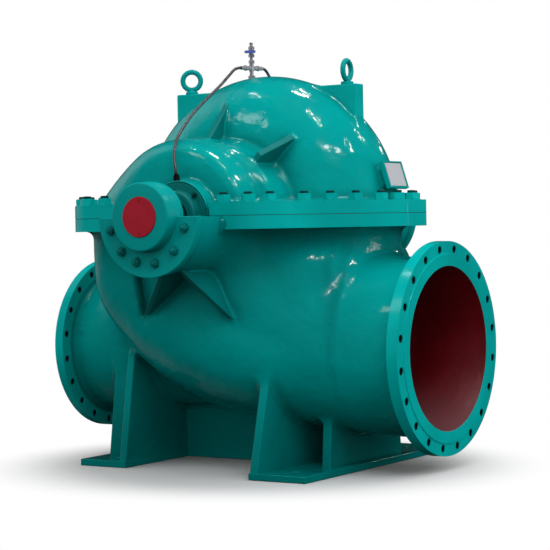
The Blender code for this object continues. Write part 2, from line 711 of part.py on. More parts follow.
def rear_cover():
    """The rear bearing's outer cover, with the shaft running out through it."""
    low = HOUSING_Y[1] + GAP
    high = HOUSING_Y[1] + 0.018
    rows = [(0.082, high), (0.082, low), (SHAFT_R + 0.0008, low), (SHAFT_R + 0.0008, high)]
    return node(ring_about_shaft("rear_cover_ring", rows, 1), "rear_end_cover", TEAL)


def ring_mesh(name, place, radius, wire, around=20, across=6):
    """A torus of few faces, its hole along the place's own Y."""
    form = bmesh.new()
    rings = []
    for i in range(around):
        turn = 2 * math.pi * i / around
        row = []
        for k in range(across):
            roll = 2 * math.pi * k / across
            out = radius + wire * math.cos(roll)
            row.append(form.verts.new((out * math.cos(turn), wire * math.sin(roll), out * math.sin(turn))))
        rings.append(row)
    for i in range(around):
        near = rings[i]
        far = rings[(i + 1) % around]
        for k in range(across):
            j = (k + 1) % across
            form.faces.new((near[k], far[k], far[j], near[j]))
    bmesh.ops.transform(form, matrix=place, verts=form.verts)
    bmesh.ops.recalc_face_normals(form, faces=form.faces)
    return from_bmesh(name, form)


def eyebolt(word, hand, turn):
    """A lifting eyebolt: ring, neck, collar and the stub of its thread."""
    x = hand * EYE_X
    place = Matrix.Translation((x, 0, EYE_CENTRE_Z)) @ Matrix.Rotation(math.radians(turn), 4, "Z")
    body = ring_mesh(word + "_eye", place, EYE_RING, EYE_WIRE)
    low = EYE_CENTRE_Z - EYE_RING
    neck = rod("eye_neck", (x, 0, LUG_TOP + 0.008), (x, 0, low + 0.004), 0.016, 16, 0.011)
    collar = rod("eye_collar", (x, 0, LUG_TOP + GAP), (x, 0, LUG_TOP + 0.010), 0.024, 20)
    thread = rod("eye_thread", (x, 0, LUG_TOP - 0.038), (x, 0, LUG_TOP + 0.005), 0.012, 16)
    combine(body, [neck, collar, thread], "UNION")
    return node(body, word + "_eyebolt", TEAL)


def fitting(name, stem, extras, colour=STEEL):
    """A turned brass or steel fitting from one rod and the rods and hexes joined to it."""
    combine(stem, extras, "UNION")
    return node(stem, name, colour, 0.3, 1.0)


def vent_tree():
    """Bushing, cross, riser and small ball valve on the crown of the casing."""
    base = VENT_SEAT_Z

    def upright(name, low, high, radius, sides=12):
        return rod(name, (VENT_X, 0, base + low), (VENT_X, 0, base + high), radius, sides)

    fitting("vent_bushing", upright("bushing", -0.035, 0.012, 0.010, 16),
            [upright("bushing_hex", 0.0015, 0.013, 0.0135, 6), upright("bushing_stem", 0.010, 0.028, 0.0075)])
    reach = Vector((ARM_DIR[0], ARM_DIR[1], 0.0)) * ARM_REACH
    middle = Vector((VENT_X, 0, VENT_ARM_Z))
    fitting("vent_cross", upright("cross", 0.028 + GAP, 0.056, 0.009),
            [rod("cross_arms", middle - reach, middle + reach, 0.0085, 12)])
    fitting("vent_riser", upright("riser", 0.056 + GAP, 0.084, 0.0065),
            [upright("riser_nut", 0.060, 0.072, 0.0115, 6)])
    root = Vector((VENT_X, 0, VALVE_Z))
    out = Vector((*VALVE_DIR, 0.0))
    fitting("vent_valve_body", upright("valve", 0.084 + GAP, 0.126, 0.0095, 16),
            [rod("valve_boss", root, root + out * 0.014, 0.006, 12), upright("valve_hex", 0.085, 0.094, 0.012, 6),
             upright("valve_hex_top", 0.114, 0.124, 0.012, 6)])
    fitting("vent_outlet", upright("outlet", 0.126 + GAP, 0.140, 0.006),
            [upright("outlet_rim", 0.134, 0.139, 0.0075)])


def valve_handle():
    """The blue butterfly handle, level while the valve is shut."""
    out = Vector((*VALVE_DIR, 0.0))
    along = Vector((-out.y, out.x, 0.0))
    root = Vector((VENT_X, 0, VALVE_Z))
    hub = rod("handle", root + out * (0.014 + GAP), root + out * 0.022, 0.007, 16)
    frame = Matrix(((along.x, 0, out.x, root.x), (along.y, 0, out.y, root.y), (0, 1, 0, root.z), (0, 0, 0, 1)))
    outline = rounded([(-0.022, -0.0055), (0.022, -0.0055), (0.022, 0.0055), (-0.022, 0.0055)], [0.005] * 4, 3)
    combine(hub, [plate("handle_wing", outline, 0.0165, 0.0205, frame)], "UNION")
    return node(hub, "vent_valve_handle", BLUE, 0.35)


def smooth_route(points, count):
    """Points on a smooth curve through the route's own points."""
    points = [Vector(point) for point in points]
    lengths = [0.0]
    for near, far in zip(points, points[1:]):
        lengths.append(lengths[-1] + (far - near).length)
    tracks = [[(length, point[k]) for length, point in zip(lengths, points)] for k in range(3)]
    places = [lengths[-1] * i / (count - 1) for i in range(count)]
    return [Vector([smooth_value(track, place) for track in tracks]) for place in places]


def flush_hoses():
    """The two braided hoses from the cross to the stuffing boxes, and their end fittings."""
    for word, side, places in (("front", -1, FRONT_ROUTE), ("rear", 1, REAR_ROUTE)):
        route = [Vector((x, side * y, z)) for x, y, z in places]
        back = Vector((VENT_X, 0, VENT_ARM_Z))
        way = (route[0] - back).normalized()
        points = smooth_route(route, 36)
        points.insert(1, route[0] + way * HOSE_R)
        hose = tube(word + "_hose", points, HOSE_R, 2)
        node(hose, word + "_flush_hose", STEEL, 0.35, 1.0)
        tip = back + way * (ARM_REACH + GAP)
        fitting(word + "_hose_top_fitting", rod("fitting", tip, route[0] - way * GAP, 0.0075, 12),
                [rod("fitting_hex", tip + way * 0.002, tip + way * 0.012, 0.0105, 6)])
        end = route[-1]
        axis = Vector((0, end.y, SHAFT_Z))
        spoke = (end - axis).normalized()
        seat = axis + spoke * (STUFFING_R + GAP)
        fitting(word + "_hose_lower_fitting", rod("foot", seat, end - spoke * GAP, 0.0085, 12),
                [rod("foot_hex", seat + spoke * 0.0005, seat + spoke * 0.012, 0.0130, 6),
                 rod("foot_ring", seat + spoke * 0.014, seat + spoke * 0.021, 0.0115, 16)])


def nameplate():
    """A bare plate on the boss of the suction side."""
    tilt = nameplate_seat()
    face = Matrix(((0, 0, 1, 0), (1, 0, 0, 0), (0, 1, 0, 0), (0, 0, 0, 1)))
    body = plate("nameplate", [(-0.058, -0.044), (0.058, -0.044), (0.058, 0.044), (-0.058, 0.044)],
                 0.022 + GAP, 0.024, tilt @ face)
    return node(body, "nameplate", PLATE_GREY, 0.35, 1.0)


def build():
    lower_casing()
    upper_casing()
    parting_gasket("left", -1)
    parting_gasket("right", 1)
    for word, side in (("front", -1), ("rear", 1)):
        bearing_housing(word, side)
        inner_cover(word, side)
        gland(word, side)
        sleeve(word, side)
    shaft()
    shaft_key()
    front_disc()
    rear_cover()
    eyebolt("left", -1, 30)
    eyebolt("right", 1, 95)
    vent_tree()
    valve_handle()
    flush_hoses()
    nameplate()


if __name__ == "__main__":
    build()
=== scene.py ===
# %% [markdown]
# # A double-suction pump: from bare solids to painted castings
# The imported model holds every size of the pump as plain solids. This lesson dresses them: the two
# big castings get one smooth skin with cast fillets, the machined parts get crisp bevelled meshes,
# and each surface gets a paint or metal made of shader nodes.

# %% Load the solids
import json
import math

import bmesh
import bpy
import numpy as np
from mathutils import Matrix, Vector

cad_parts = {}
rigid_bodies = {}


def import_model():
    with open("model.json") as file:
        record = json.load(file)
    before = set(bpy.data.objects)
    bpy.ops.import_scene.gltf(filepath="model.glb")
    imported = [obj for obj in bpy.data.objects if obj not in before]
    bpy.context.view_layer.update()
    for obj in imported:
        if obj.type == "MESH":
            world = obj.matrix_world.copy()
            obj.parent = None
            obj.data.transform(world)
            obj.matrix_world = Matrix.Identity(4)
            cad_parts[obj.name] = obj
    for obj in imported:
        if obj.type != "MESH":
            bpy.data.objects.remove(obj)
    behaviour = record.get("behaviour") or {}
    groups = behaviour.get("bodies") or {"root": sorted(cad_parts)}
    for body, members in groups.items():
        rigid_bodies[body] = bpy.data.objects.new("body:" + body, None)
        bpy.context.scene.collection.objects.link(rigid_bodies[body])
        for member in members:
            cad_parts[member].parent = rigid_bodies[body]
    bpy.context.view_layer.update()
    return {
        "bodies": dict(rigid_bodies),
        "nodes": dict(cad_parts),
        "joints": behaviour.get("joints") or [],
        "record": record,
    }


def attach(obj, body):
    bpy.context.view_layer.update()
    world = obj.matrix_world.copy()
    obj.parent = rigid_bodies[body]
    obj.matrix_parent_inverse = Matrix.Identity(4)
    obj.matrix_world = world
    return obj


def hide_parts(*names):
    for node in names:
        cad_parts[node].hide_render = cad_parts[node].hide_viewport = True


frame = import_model()

# %% [markdown]
# ## The camera
# The twenty bolt holes of the suction flange lie on a known circle, so the place of the camera can
# be worked out from them. It stands 7.2 m away, a little to the right, at the height of the shaft,
# with a long lens and a slight roll. It comes first, because the hoses are measured against it.

# %% Camera
PHOTO_WIDTH = 550
FOCAL_PIXELS = 1878
turn = math.radians(32.65)
lift = math.radians(1.43)
roll = math.radians(-1.10)
back = Vector((math.sin(turn) * math.cos(lift), -math.cos(turn) * math.cos(lift), math.sin(lift)))
right = Vector((math.cos(turn), math.sin(turn), 0))
up = back.cross(right)
rolled = Matrix(((math.cos(roll), math.sin(roll), 0), (-math.sin(roll), math.cos(roll), 0), (0, 0, 1)))
lens_data = bpy.data.cameras.new("photo_camera")
lens_data.sensor_width = 36
lens_data.lens = FOCAL_PIXELS / PHOTO_WIDTH * lens_data.sensor_width
camera = bpy.data.objects.new("photo_camera", lens_data)
place = (rolled @ Matrix((right, up, back))).transposed().to_4x4()
place.translation = (3.898, -6.056, 0.893)
camera.matrix_world = place
bpy.context.scene.collection.objects.link(camera)
bpy.context.scene.camera = camera
print("lens", round(lens_data.lens, 1), "mm")

# %% [markdown]
# ## One class for node maths
# A finish is easier to read as a formula than as a list of nodes. This class wraps a socket, so
# that adding or multiplying two of them adds the Math node. The finish class below it makes every
# other node with one method, and keeps the shader's own sockets for the plain numbers.


# %% Wire and Finish
class Wire:
    """A socket of a finish that can be used in sums."""

    def __init__(self, finish, socket):
        self.finish = finish
        self.socket = socket

    def __add__(self, other):
        return self.finish.maths("ADD", self, other)

    __radd__ = __add__

    def __sub__(self, other):
        return self.finish.maths("SUBTRACT", self, other)

    def __rsub__(self, other):
        return self.finish.maths("SUBTRACT", other, self)

    def __mul__(self, other):
        return self.finish.maths("MULTIPLY", self, other)

    __rmul__ = __mul__


class Finish:
    """A material built node by node around one Principled shader."""

    def __init__(self, name, colour, roughness, metallic=0.0, **plain):
        self.material = bpy.data.materials.new(name)
        self.material.use_nodes = True
        self.tree = self.material.node_tree
        self.shader = self.tree.nodes["Principled BSDF"]
        self.shader.inputs["Base Color"].default_value = (*colour, 1)
        self.shader.inputs["Roughness"].default_value = roughness
        self.shader.inputs["Metallic"].default_value = metallic
        for socket, value in plain.items():
            self.shader.inputs[socket.replace("_", " ")].default_value = value
        self.material.diffuse_color = (*colour, 1)

    def node(self, kind, settings=None, values=None, out=0):
        made = self.tree.nodes.new(kind)
        for key, value in (settings or {}).items():
            if key == "stops":
                ramp = made.color_ramp
                ramp.elements[0].position = value[0][0]
                ramp.elements[0].color = (*value[0][1], 1)
                ramp.elements[1].position = value[-1][0]
                ramp.elements[1].color = (*value[-1][1], 1)
                for place_at, colour in value[1:-1]:
                    ramp.elements.new(place_at).color = (*colour, 1)
            else:
                setattr(made, key, value)
        for key, value in (values or {}).items():
            socket = made.inputs[key]
            if isinstance(value, Wire):
                self.tree.links.new(value.socket, socket)
            else:
                socket.default_value = value
        return Wire(self, made.outputs[out])

    def maths(self, operation, first, second):
        return self.node("ShaderNodeMath", {"operation": operation}, {0: first, 1: second})

    def place(self, kind="Object"):
        return self.node("ShaderNodeTexCoord", out=kind)

    def height(self):
        return self.node("ShaderNodeSeparateXYZ", None, {"Vector": self.place()}, "Z")

    def noise(self, scale, detail=3.0, rough=0.5, where=None, out=0):
        values = {"Scale": scale, "Detail": detail, "Roughness": rough, "Vector": where or self.place()}
        return self.node("ShaderNodeTexNoise", None, values, out)

    def stretch(self, where, scale):
        values = {"Vector": where, "Scale": scale}
        return self.node("ShaderNodeMapping", None, values)

    def step(self, value, low, high):
        """0 below low, 1 above high, and a soft ramp between."""
        settings = {"interpolation_type": "SMOOTHSTEP"}
        return self.node("ShaderNodeMapRange", settings, {"Value": value, "From Min": low, "From Max": high})

    def mix(self, factor, first, second):
        values = {0: factor, 6: first, 7: second}
        return self.node("ShaderNodeMix", {"data_type": "RGBA"}, values, 2)

    def feed(self, socket, wire):
        self.tree.links.new(wire.socket, self.shader.inputs[socket])

    def bump(self, height, strength, distance, under=None):
        values = {"Height": height, "Strength": strength, "Distance": distance}
        if under is not None:
            values["Normal"] = under
        return self.node("ShaderNodeBump", None, values)


print("node helpers ready")

# %% [markdown]
# ## The braided flush hoses
# Two thin hoses lead water from the vent cross on the crown to the two stuffing boxes. Each is a
# rubber tube in a braid of steel wires. A curve with a round bevel would give the tube, but a mesh
# tube also carries a map along and around it, which the braid needs. The route is the solid's own.

# %% Hose braid
hose_braid = Finish("braided_hose", (0.16, 0.15, 0.16), 0.42, 0.6)
along_hose = hose_braid.node("ShaderNodeUVMap", {"uv_map": "braid"})
along = hose_braid.node("ShaderNodeSeparateXYZ", None, {0: along_hose}, 0)
around = hose_braid.node("ShaderNodeSeparateXYZ", None, {0: along_hose}, 1)
right_hand = hose_braid.maths("SINE", (along + around) * (2 * math.pi), 0)
left_hand = hose_braid.maths("SINE", (along - around) * (2 * math.pi), 0)
plait = hose_braid.maths("MAXIMUM", right_hand, left_hand)
wires = hose_braid.step(plait, 0.15, 0.95)
hose_braid.feed("Base Color", hose_braid.mix(wires, (0.055, 0.050, 0.052, 1), (0.19, 0.175, 0.185, 1)))
hose_braid.feed("Roughness", 0.50 - 0.14 * wires)
hose_braid.feed("Normal", hose_braid.bump(plait, 0.35, 0.0004))
print("braid of", len(hose_braid.tree.nodes), "nodes")

# %% [markdown]
# The routes run from the vent cross over the crown and down to the fittings of the stuffing boxes.
# Each is a list of (x, reach from the middle, height), so the front and the rear hose share the
# same code and only change hands. A smooth curve through the points sets the length.

# %% Curves through points
HOSE_R = 0.0055
FRONT_ROUTE = (
    (-0.0890, 0.048, 1.5091), (-0.0911, 0.0536, 1.5091), (-0.0925, 0.085, 1.5010),
    (-0.0908, 0.125, 1.4764), (-0.0945, 0.175, 1.4391), (-0.1001, 0.235, 1.3981),
    (-0.1024, 0.300, 1.3571), (-0.0990, 0.370, 1.3126), (-0.0805, 0.455, 1.2597),
    (-0.0649, 0.510, 1.2239), (-0.0485, 0.550, 1.1855), (-0.0335, 0.574, 1.1442),
    (-0.0230, 0.583, 1.1080), (-0.0210, 0.583, 1.0935),
)
REAR_ROUTE = (
    (-0.0530, 0.048, 1.5091), (-0.0509, 0.0536, 1.5091), (-0.0540, 0.078, 1.5000),
    (-0.0590, 0.110, 1.4790), (-0.0640, 0.175, 1.4340), (-0.0680, 0.235, 1.3940),
    (-0.0690, 0.300, 1.3530), (-0.0660, 0.370, 1.3090), (-0.0580, 0.455, 1.2560),
    (-0.0490, 0.510, 1.2190), (-0.0390, 0.550, 1.1830), (-0.0290, 0.574, 1.1442),
    (-0.0230, 0.583, 1.1080), (-0.0210, 0.583, 1.0935),
)


def flow(keys, where):
    """Smooth values at the places given, through sorted (place, value) keys."""
    t = np.array([key[0] for key in keys], float)
    v = np.array([key[1] for key in keys], float)
    slope = np.empty_like(v)
    slope[1:-1] = (v[2:] - v[:-2]) / (t[2:] - t[:-2])
    slope[0] = (v[1] - v[0]) / (t[1] - t[0])
    slope[-1] = (v[-1] - v[-2]) / (t[-1] - t[-2])
    where = np.clip(where, t[0], t[-1])
    i = np.clip(np.searchsorted(t, where, side="right") - 1, 0, len(t) - 2)
    width = t[i + 1] - t[i]
    u = (where - t[i]) / width
    start = (2 * u ** 3 - 3 * u ** 2 + 1) * v[i] + (u ** 3 - 2 * u ** 2 + u) * width * slope[i]
    return start + (3 * u ** 2 - 2 * u ** 3) * v[i + 1] + (u ** 3 - u ** 2) * width * slope[i + 1]


def smooth_route(points, count):
    """Evenly spaced places on a smooth curve through the points."""
    points = np.array(points, float)
    steps = np.linalg.norm(np.diff(points, axis=0), axis=1)
    lengths = np.concatenate([[0.0], np.cumsum(steps)])
    where = np.linspace(0.0, lengths[-1], count)
    return np.stack([flow(list(zip(lengths, points[:, k])), where) for k in range(3)], axis=1)


# %% Pieces and tubes
def piece(name, mesh, finish, body="casing"):
    """Makes a mesh a finished piece of the pump that moves with a body."""
    thing = bpy.data.objects.new(name, mesh)
    bpy.context.scene.collection.objects.link(thing)
    if not mesh.materials:
        mesh.materials.append(finish.material)
    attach(thing, body)
    return thing


def tube_mesh(name, centres, radius, sides=14, pitch=0.012):
    """A tube of rings along a route, with a map that runs with its braid."""
    form = bmesh.new()
    braid = form.loops.layers.uv.new("braid")
    centres = [Vector(c) for c in centres]
    side = Vector((1, 0, 0))
    rings = []
    length = 0.0
    lengths = []
    for i, centre in enumerate(centres):
        ahead = (centres[min(i + 1, len(centres) - 1)] - centres[max(i - 1, 0)]).normalized()
        side = (side - ahead * side.dot(ahead)).normalized()
        other = ahead.cross(side)
        turns = [2 * math.pi * k / sides for k in range(sides)]
        spots = [centre + (side * math.cos(a) + other * math.sin(a)) * radius for a in turns]
        rings.append([form.verts.new(spot) for spot in spots])
        length += (centre - centres[max(i - 1, 0)]).length
        lengths.append(length)
    for i in range(len(rings) - 1):
        for k in range(sides):
            j = (k + 1) % sides
            face = form.faces.new((rings[i][k], rings[i][j], rings[i + 1][j], rings[i + 1][k]))
            face.smooth = True
            where = ((i, k), (i, k + 1), (i + 1, k + 1), (i + 1, k))
            for loop, (row, column) in zip(face.loops, where):
                loop[braid].uv = (lengths[row] / pitch, 6 * column / sides)
    form.faces.new(list(reversed(rings[0])))
    form.faces.new(rings[-1])
    mesh = bpy.data.meshes.new(name)
    form.to_mesh(mesh)
    form.free()
    return mesh


# %% Two hoses
for word, hand, route in (("front", -1, FRONT_ROUTE), ("rear", 1, REAR_ROUTE)):
    keys = [(x, hand * y, z) for x, y, z in route]
    line = smooth_route(keys, 61)
    hose = piece(word + "_flush_hose_braid", tube_mesh(word + "_hose", line, HOSE_R), hose_braid)
    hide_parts(word + "_flush_hose")

# %% [markdown]
# ## The enamel
# The castings are sprayed with a thick glossy enamel. Up close it shows a fine orange peel, the
# slow waves of the sand mould under it, and a slight change of tone where the coat is thinner.
# Waves and peel go into one Bump chain, because that is what breaks up the studio's reflections.

# %% Teal enamel
TEAL = (0.000, 0.345, 0.322)
TEAL_THIN = (0.000, 0.290, 0.272)
TEAL_LIT = (0.000, 0.460, 0.430)
TEAL_SHADED = (0.000, 0.200, 0.185)
TEAL_DEEPER_SHADE = (0.000, 0.150, 0.140)
TEAL_SHADOW = (0.000, 0.060, 0.058)
TEAL_DARKEST_SHADOW = (0.000, 0.035, 0.034)


def enamel(name, colour, thin, gloss=0.07, wave=0.0030, shine=0.32, shade_amount=0.0):
    """One enamel: its two tones, how rough and wavy it is, and how much painted shade darkens it low down and
    in creases.
    """
    paint = Finish(name, colour, gloss, 0.0, Specular_IOR_Level=shine)
    tone = paint.step(paint.noise(2.6, 3.0), 0.35, 0.72)
    speck = paint.step(paint.noise(46.0, 2.0), 0.56, 0.74)
    base = paint.mix(tone, (*thin, 1), (*colour, 1))
    base = paint.mix(speck * 0.18, base, (*thin, 1))
    # Painted shade: the colour darkens towards the floor and where the skin's occlusion measure says the
    # surface is closed in.
    if shade_amount:
        height = paint.height() + 0.10 * paint.noise(3.5, 3.0)
        low = 1 - paint.step(height, 0.05, 0.55)
        shade_colour = tuple(0.42 * channel for channel in thin)
        base = paint.mix(low * shade_amount, base, (*shade_colour, 1))
        hollow = paint.node("ShaderNodeAttribute", {"attribute_name": "closed_in"}, None, "Fac")
        base = paint.mix(paint.step(hollow, 0.08, 0.60) * 0.60, base, (*shade_colour, 1))
    paint.feed("Base Color", base)
    paint.feed("Roughness", gloss + 0.05 * paint.noise(8.0, 3.0) + 0.04 * speck)
    slow = paint.noise(9.0, 2.0, 0.45)
    medium = paint.noise(30.0, 2.0, 0.5)
    peel = paint.noise(210.0, 1.0, 0.4)
    under = paint.bump(slow + 0.22 * medium, 0.45, wave * 6)
    paint.feed("Normal", paint.bump(peel, 0.10, 0.0015, under))
    return paint


# The casting enamel carries painted shade low down and in creases.
casting_enamel = enamel("teal_enamel_on_casting", TEAL, TEAL_THIN, shade_amount=0.75)
machined_enamel = enamel("teal_enamel_on_machined_face", TEAL, TEAL_THIN, 0.22, 0.0006, 0.06)
# A lighter copy of the teal: painted light on the flanges, the lugs and the nuts.
lit_flange_enamel = enamel("teal_enamel_painted_lighter_as_lit", TEAL_LIT, TEAL, 0.12, 0.0008, 0.12)
# A darker copy of the teal: painted shade on the ribs, gussets, glands, inner covers and housing bolts.
shaded_enamel = enamel("teal_enamel_painted_shade", TEAL_SHADED, TEAL_DEEPER_SHADE, 0.30, 0.0006, 0.10)
# A near-black teal: painted shadow on the stud ends and the gland bolts.
stud_shadow_enamel = enamel("teal_enamel_painted_shadow_on_stud_ends", TEAL_SHADOW, TEAL_DARKEST_SHADOW, 0.35, 0.0006, 0.10)
print("enamels ready")

# %% [markdown]
# ## Castings as fields
# A casting has no sharp corners: wherever two forms meet, the sand leaves a fillet. Booleans with
# bevels could add them, but they break on forms this soft. So each casting is written as a field,
# a number at each point of a grid that is negative inside. Forms are joined with a smooth minimum,
# which leaves a fillet of a chosen size, and then the skin where the field is zero becomes a mesh.


# %% Field helpers
def join(first, second, fillet):
    h = np.clip(0.5 + 0.5 * (second - first) / fillet, 0, 1)
    return second * (1 - h) + first * h - fillet * h * (1 - h)


def trim(first, second, edge):
    """The part of the first form that is outside the second, with a rounded edge."""
    return -join(-first, second, edge)


def both(first, second, edge):
    return -join(-first, -second, edge)


def as_distance(value, step):
    """Any smooth formula rescaled so that it reads as metres near its surface."""
    gx, gy, gz = np.gradient(value, step)
    return value / np.maximum(np.sqrt(gx * gx + gy * gy + gz * gz), 0.25)


def slab(value, low, high):
    return np.maximum(low - value, value - high)


class Grid:
    """Evenly spaced points in a box, and the measures of the pump at each of them."""

    def __init__(self, low, high, step):
        self.low = np.array(low, float)
        self.step = step
        counts = [int(math.ceil((h - l) / step)) + 1 for l, h in zip(low, high)]
        axes = [(l + step * np.arange(n)).astype(np.float32) for l, n in zip(low, counts)]
        self.x, self.y, self.z = np.meshgrid(*axes, indexing="ij")
        self.side = np.abs(self.y)
        self.rise = self.z - np.float32(SHAFT_Z)
        self.spoke = np.hypot(self.x, self.rise)
        print("grid", self.x.shape)


SHAFT_Z = 0.940
NOZZLE_Z = 0.445
BARREL_R = 0.200


# %% Skin of a field
def skin(name, grid, field):
    """The zero surface of a field as a mesh of quads, with the field's own smooth normals."""
    inside = field < 0
    nx, ny, nz = field.shape
    corners = [(i, j, k) for i in (0, 1) for j in (0, 1) for k in (0, 1)]
    count = sum(inside[i:nx - 1 + i, j:ny - 1 + j, k:nz - 1 + k].astype(np.int8) for i, j, k in corners)
    active = (count > 0) & (count < 8)
    cells = np.argwhere(active)
    index = np.full(active.shape, -1, np.int32)
    index[active] = np.arange(len(cells))
    total = np.zeros((len(cells), 3))
    hits = np.zeros(len(cells))
    for axis in range(3):
        ahead = np.eye(3, dtype=int)[axis]
        for start in corners:
            if start[axis]:
                continue
            near = cells + start
            far = near + ahead
            a = field[tuple(near.T)]
            b = field[tuple(far.T)]
            crosses = (a < 0) != (b < 0)
            share = a[crosses] / (a[crosses] - b[crosses])
            total[crosses] += np.array(start) + share[:, None] * ahead
            hits[crosses] += 1
    spots = cells + total / hits[:, None]
    quads = []
    for axis in range(3):
        u, v = [np.eye(3, dtype=int)[k] for k in range(3) if k != axis]
        here = [slice(1, -1)] * 3
        here[axis] = slice(0, -1)
        there = list(here)
        there[axis] = slice(1, None)
        a = inside[tuple(here)]
        b = inside[tuple(there)]
        for first, flip in ((a & ~b, axis == 1), (b & ~a, axis != 1)):
            at = np.argwhere(first) + np.array([0 if k == axis else 1 for k in range(3)])
            ring = [index[tuple((at - u - v).T)], index[tuple((at - v).T)], index[tuple(at.T)],
                    index[tuple((at - u).T)]]
            quads.append(np.stack(ring[::-1] if flip else ring, axis=1))
    quads = np.concatenate(quads)
    gradients = np.stack(np.gradient(field, grid.step), axis=-1)
    base = np.clip(np.floor(spots).astype(int), 0, np.array(field.shape) - 2)
    part = spots - base
    normals = np.zeros_like(spots)
    for i, j, k in corners:
        weight = np.abs(1 - i - part[:, 0]) * np.abs(1 - j - part[:, 1]) * np.abs(1 - k - part[:, 2])
        normals += weight[:, None] * gradients[base[:, 0] + i, base[:, 1] + j, base[:, 2] + k]
    normals /= np.maximum(np.linalg.norm(normals, axis=1), 1e-9)[:, None]
    # How far the field closes in round each point, an occlusion measure that the casting enamel turns into
    # painted shade.
    closed = np.zeros(len(spots))
    for reach in (0.020, 0.045, 0.090):
        out = np.rint(spots + normals * (reach / grid.step)).astype(int)
        out = np.clip(out, 0, np.array(field.shape) - 1)
        closed += np.clip(1 - field[tuple(out.T)] / reach, 0, 1) / 3
    mesh = bpy.data.meshes.new(name)
    mesh.from_pydata((grid.low + spots * grid.step).tolist(), [], quads.tolist())
    mesh.attributes.new("closed_in", "FLOAT", "POINT").data.foreach_set("value", closed)
    mesh.shade_smooth()
    mesh.normals_split_custom_set_from_vertices(normals.tolist())
    print(name, len(spots), "points", len(quads), "quads")
    return mesh


# %% [markdown]
# ## The lower casting
# Water comes in through the big flange on the right, and the bowl carries it under and round to
# both sides of the wheel. The neck on the left takes it away. A loft could give each of them, as it
# did in the solid, but lofts don't blend. Here the bowl is its side view swollen to a depth, the
# neck and the swell below the flange are rows of ovals, and the volute is a ring round the shaft.

# %% The bowl's side view and depth
ARM = (
    (1.20, 0.120), (0.745, 0.120), (0.620, 0.120), (0.500, 0.127), (0.380, 0.138), (0.250, 0.150),
    (0.100, 0.165), (-0.020, 0.182), (-0.120, 0.205), (-0.200, 0.230), (-0.280, 0.270), (-0.360, 0.325),
    (-0.430, 0.390), (-0.490, 0.470), (-0.530, 0.540), (-0.560, 0.610), (-0.578, 0.690), (-0.584, 0.780),
    (-0.585, 0.900), (-0.585, 1.20),
)
ARM_TOP = ((0.240, 1.20), (0.250, 1.050), (0.275, 0.970), (0.330, 0.900), (0.410, 0.840), (0.500, 0.800),
           (0.620, 0.775), (0.745, 0.770), (1.20, 0.770))
ARM_DEPTH = ((-0.60, 0.500), (-0.36, 0.497), (-0.20, 0.492), (0.00, 0.485), (0.20, 0.465), (0.38, 0.405),
             (0.50, 0.360), (0.62, 0.333), (0.745, 0.325))
ARM_ROUND = ((-0.60, 0.125), (-0.50, 0.160), (-0.36, 0.260), (-0.20, 0.320), (0.745, 0.325))
NECK = (
    (-0.775, 0.262, 0.445, 0.262), (-0.660, 0.264, 0.445, 0.262), (-0.500, 0.272, 0.465, 0.275),
    (-0.300, 0.268, 0.490, 0.282), (-0.050, 0.250, 0.550, 0.330),
)
SWELL = (
    (0.515, 0.135, 0.66, 0.100), (0.490, 0.235, 0.66, 0.150), (0.440, 0.315, 0.66, 0.200),
    (0.380, 0.365, 0.66, 0.232), (0.310, 0.398, 0.66, 0.252), (0.250, 0.412, 0.66, 0.262),
    (0.150, 0.425, 0.66, 0.268),
)


def edge_distance(u, v, corners):
    """Distance from a closed outline, negative inside it, for two arrays of places."""
    nearest = np.full(u.shape, 9.0)
    crossings = np.zeros(u.shape, int)
    for i, (u0, v0) in enumerate(corners):
        u1, v1 = corners[(i + 1) % len(corners)]
        du = u1 - u0
        dv = v1 - v0
        share = np.clip(((u - u0) * du + (v - v0) * dv) / max(du * du + dv * dv, 1e-12), 0, 1)
        nearest = np.minimum(nearest, np.hypot(u - u0 - share * du, v - v0 - share * dv))
        if dv:
            spans = (v0 > v) != (v1 > v)
            crossings += spans & (u < du * (v - v0) / dv + u0)
    return np.where(crossings % 2 == 1, -nearest, nearest)


def bowl(grid):
    """The side view's outline, swollen to a depth that changes along X."""
    low_edge = smooth_route([(x, z, 0) for x, z in ARM], 120)[:, :2]
    top_edge = smooth_route([(x, z, 0) for x, z in ARM_TOP], 80)[:, :2]
    x = grid.x[:, 0, :].astype(float)
    z = grid.z[:, 0, :].astype(float)
    inward = -edge_distance(x, z, [tuple(c) for c in low_edge] + [tuple(c) for c in top_edge])
    round_off = flow(ARM_ROUND, x[:, 0])[:, None]
    depth = flow(ARM_DEPTH, x[:, 0])[:, None, None]
    share = np.maximum(1 - inward / round_off, 0)[:, None, :]
    value = (share ** 2.2 + (grid.side / depth) ** 2.2) ** (1 / 2.2) - 1
    return np.maximum(as_distance(value, grid.step), grid.x - 0.745)


def oval_row(grid, stations, squareness, end):
    """Ovals across X, blended between stations, with rounded ends."""
    rows = sorted(stations)
    along = grid.x[:, 0, 0]
    half, middle, rise = (flow([(row[0], row[k]) for row in rows], along)[:, None, None] for k in (1, 2, 3))
    reach = (grid.side / half) ** squareness + (np.abs(grid.z - middle) / rise) ** squareness
    body = as_distance(np.maximum(reach, 1e-6) ** (1 / squareness) - 1, grid.step)
    return both(body, slab(grid.x, rows[0][0], rows[-1][0]), end)


def volute_ring(grid):
    """A thick ring round the shaft: the half of the volute that a casting holds."""
    return np.hypot(np.maximum(grid.spoke - 0.282, 0), grid.side) - 0.250


def within(corners, across, up):
    """How far places lie past the nearest edge of a convex outline, negative inside it."""
    inside = None
    middle = np.mean(np.array(corners), axis=0)
    for (u, v), (u2, v2) in zip(corners, corners[1:] + corners[:1]):
        normal = np.array((v2 - v, u - u2))
        normal /= np.linalg.norm(normal)
        if np.dot(normal, middle - (u, v)) > 0:
            normal = -normal
        edge = (across - u) * normal[0] + (up - v) * normal[1]
        inside = edge if inside is None else np.maximum(inside, edge)
    return inside


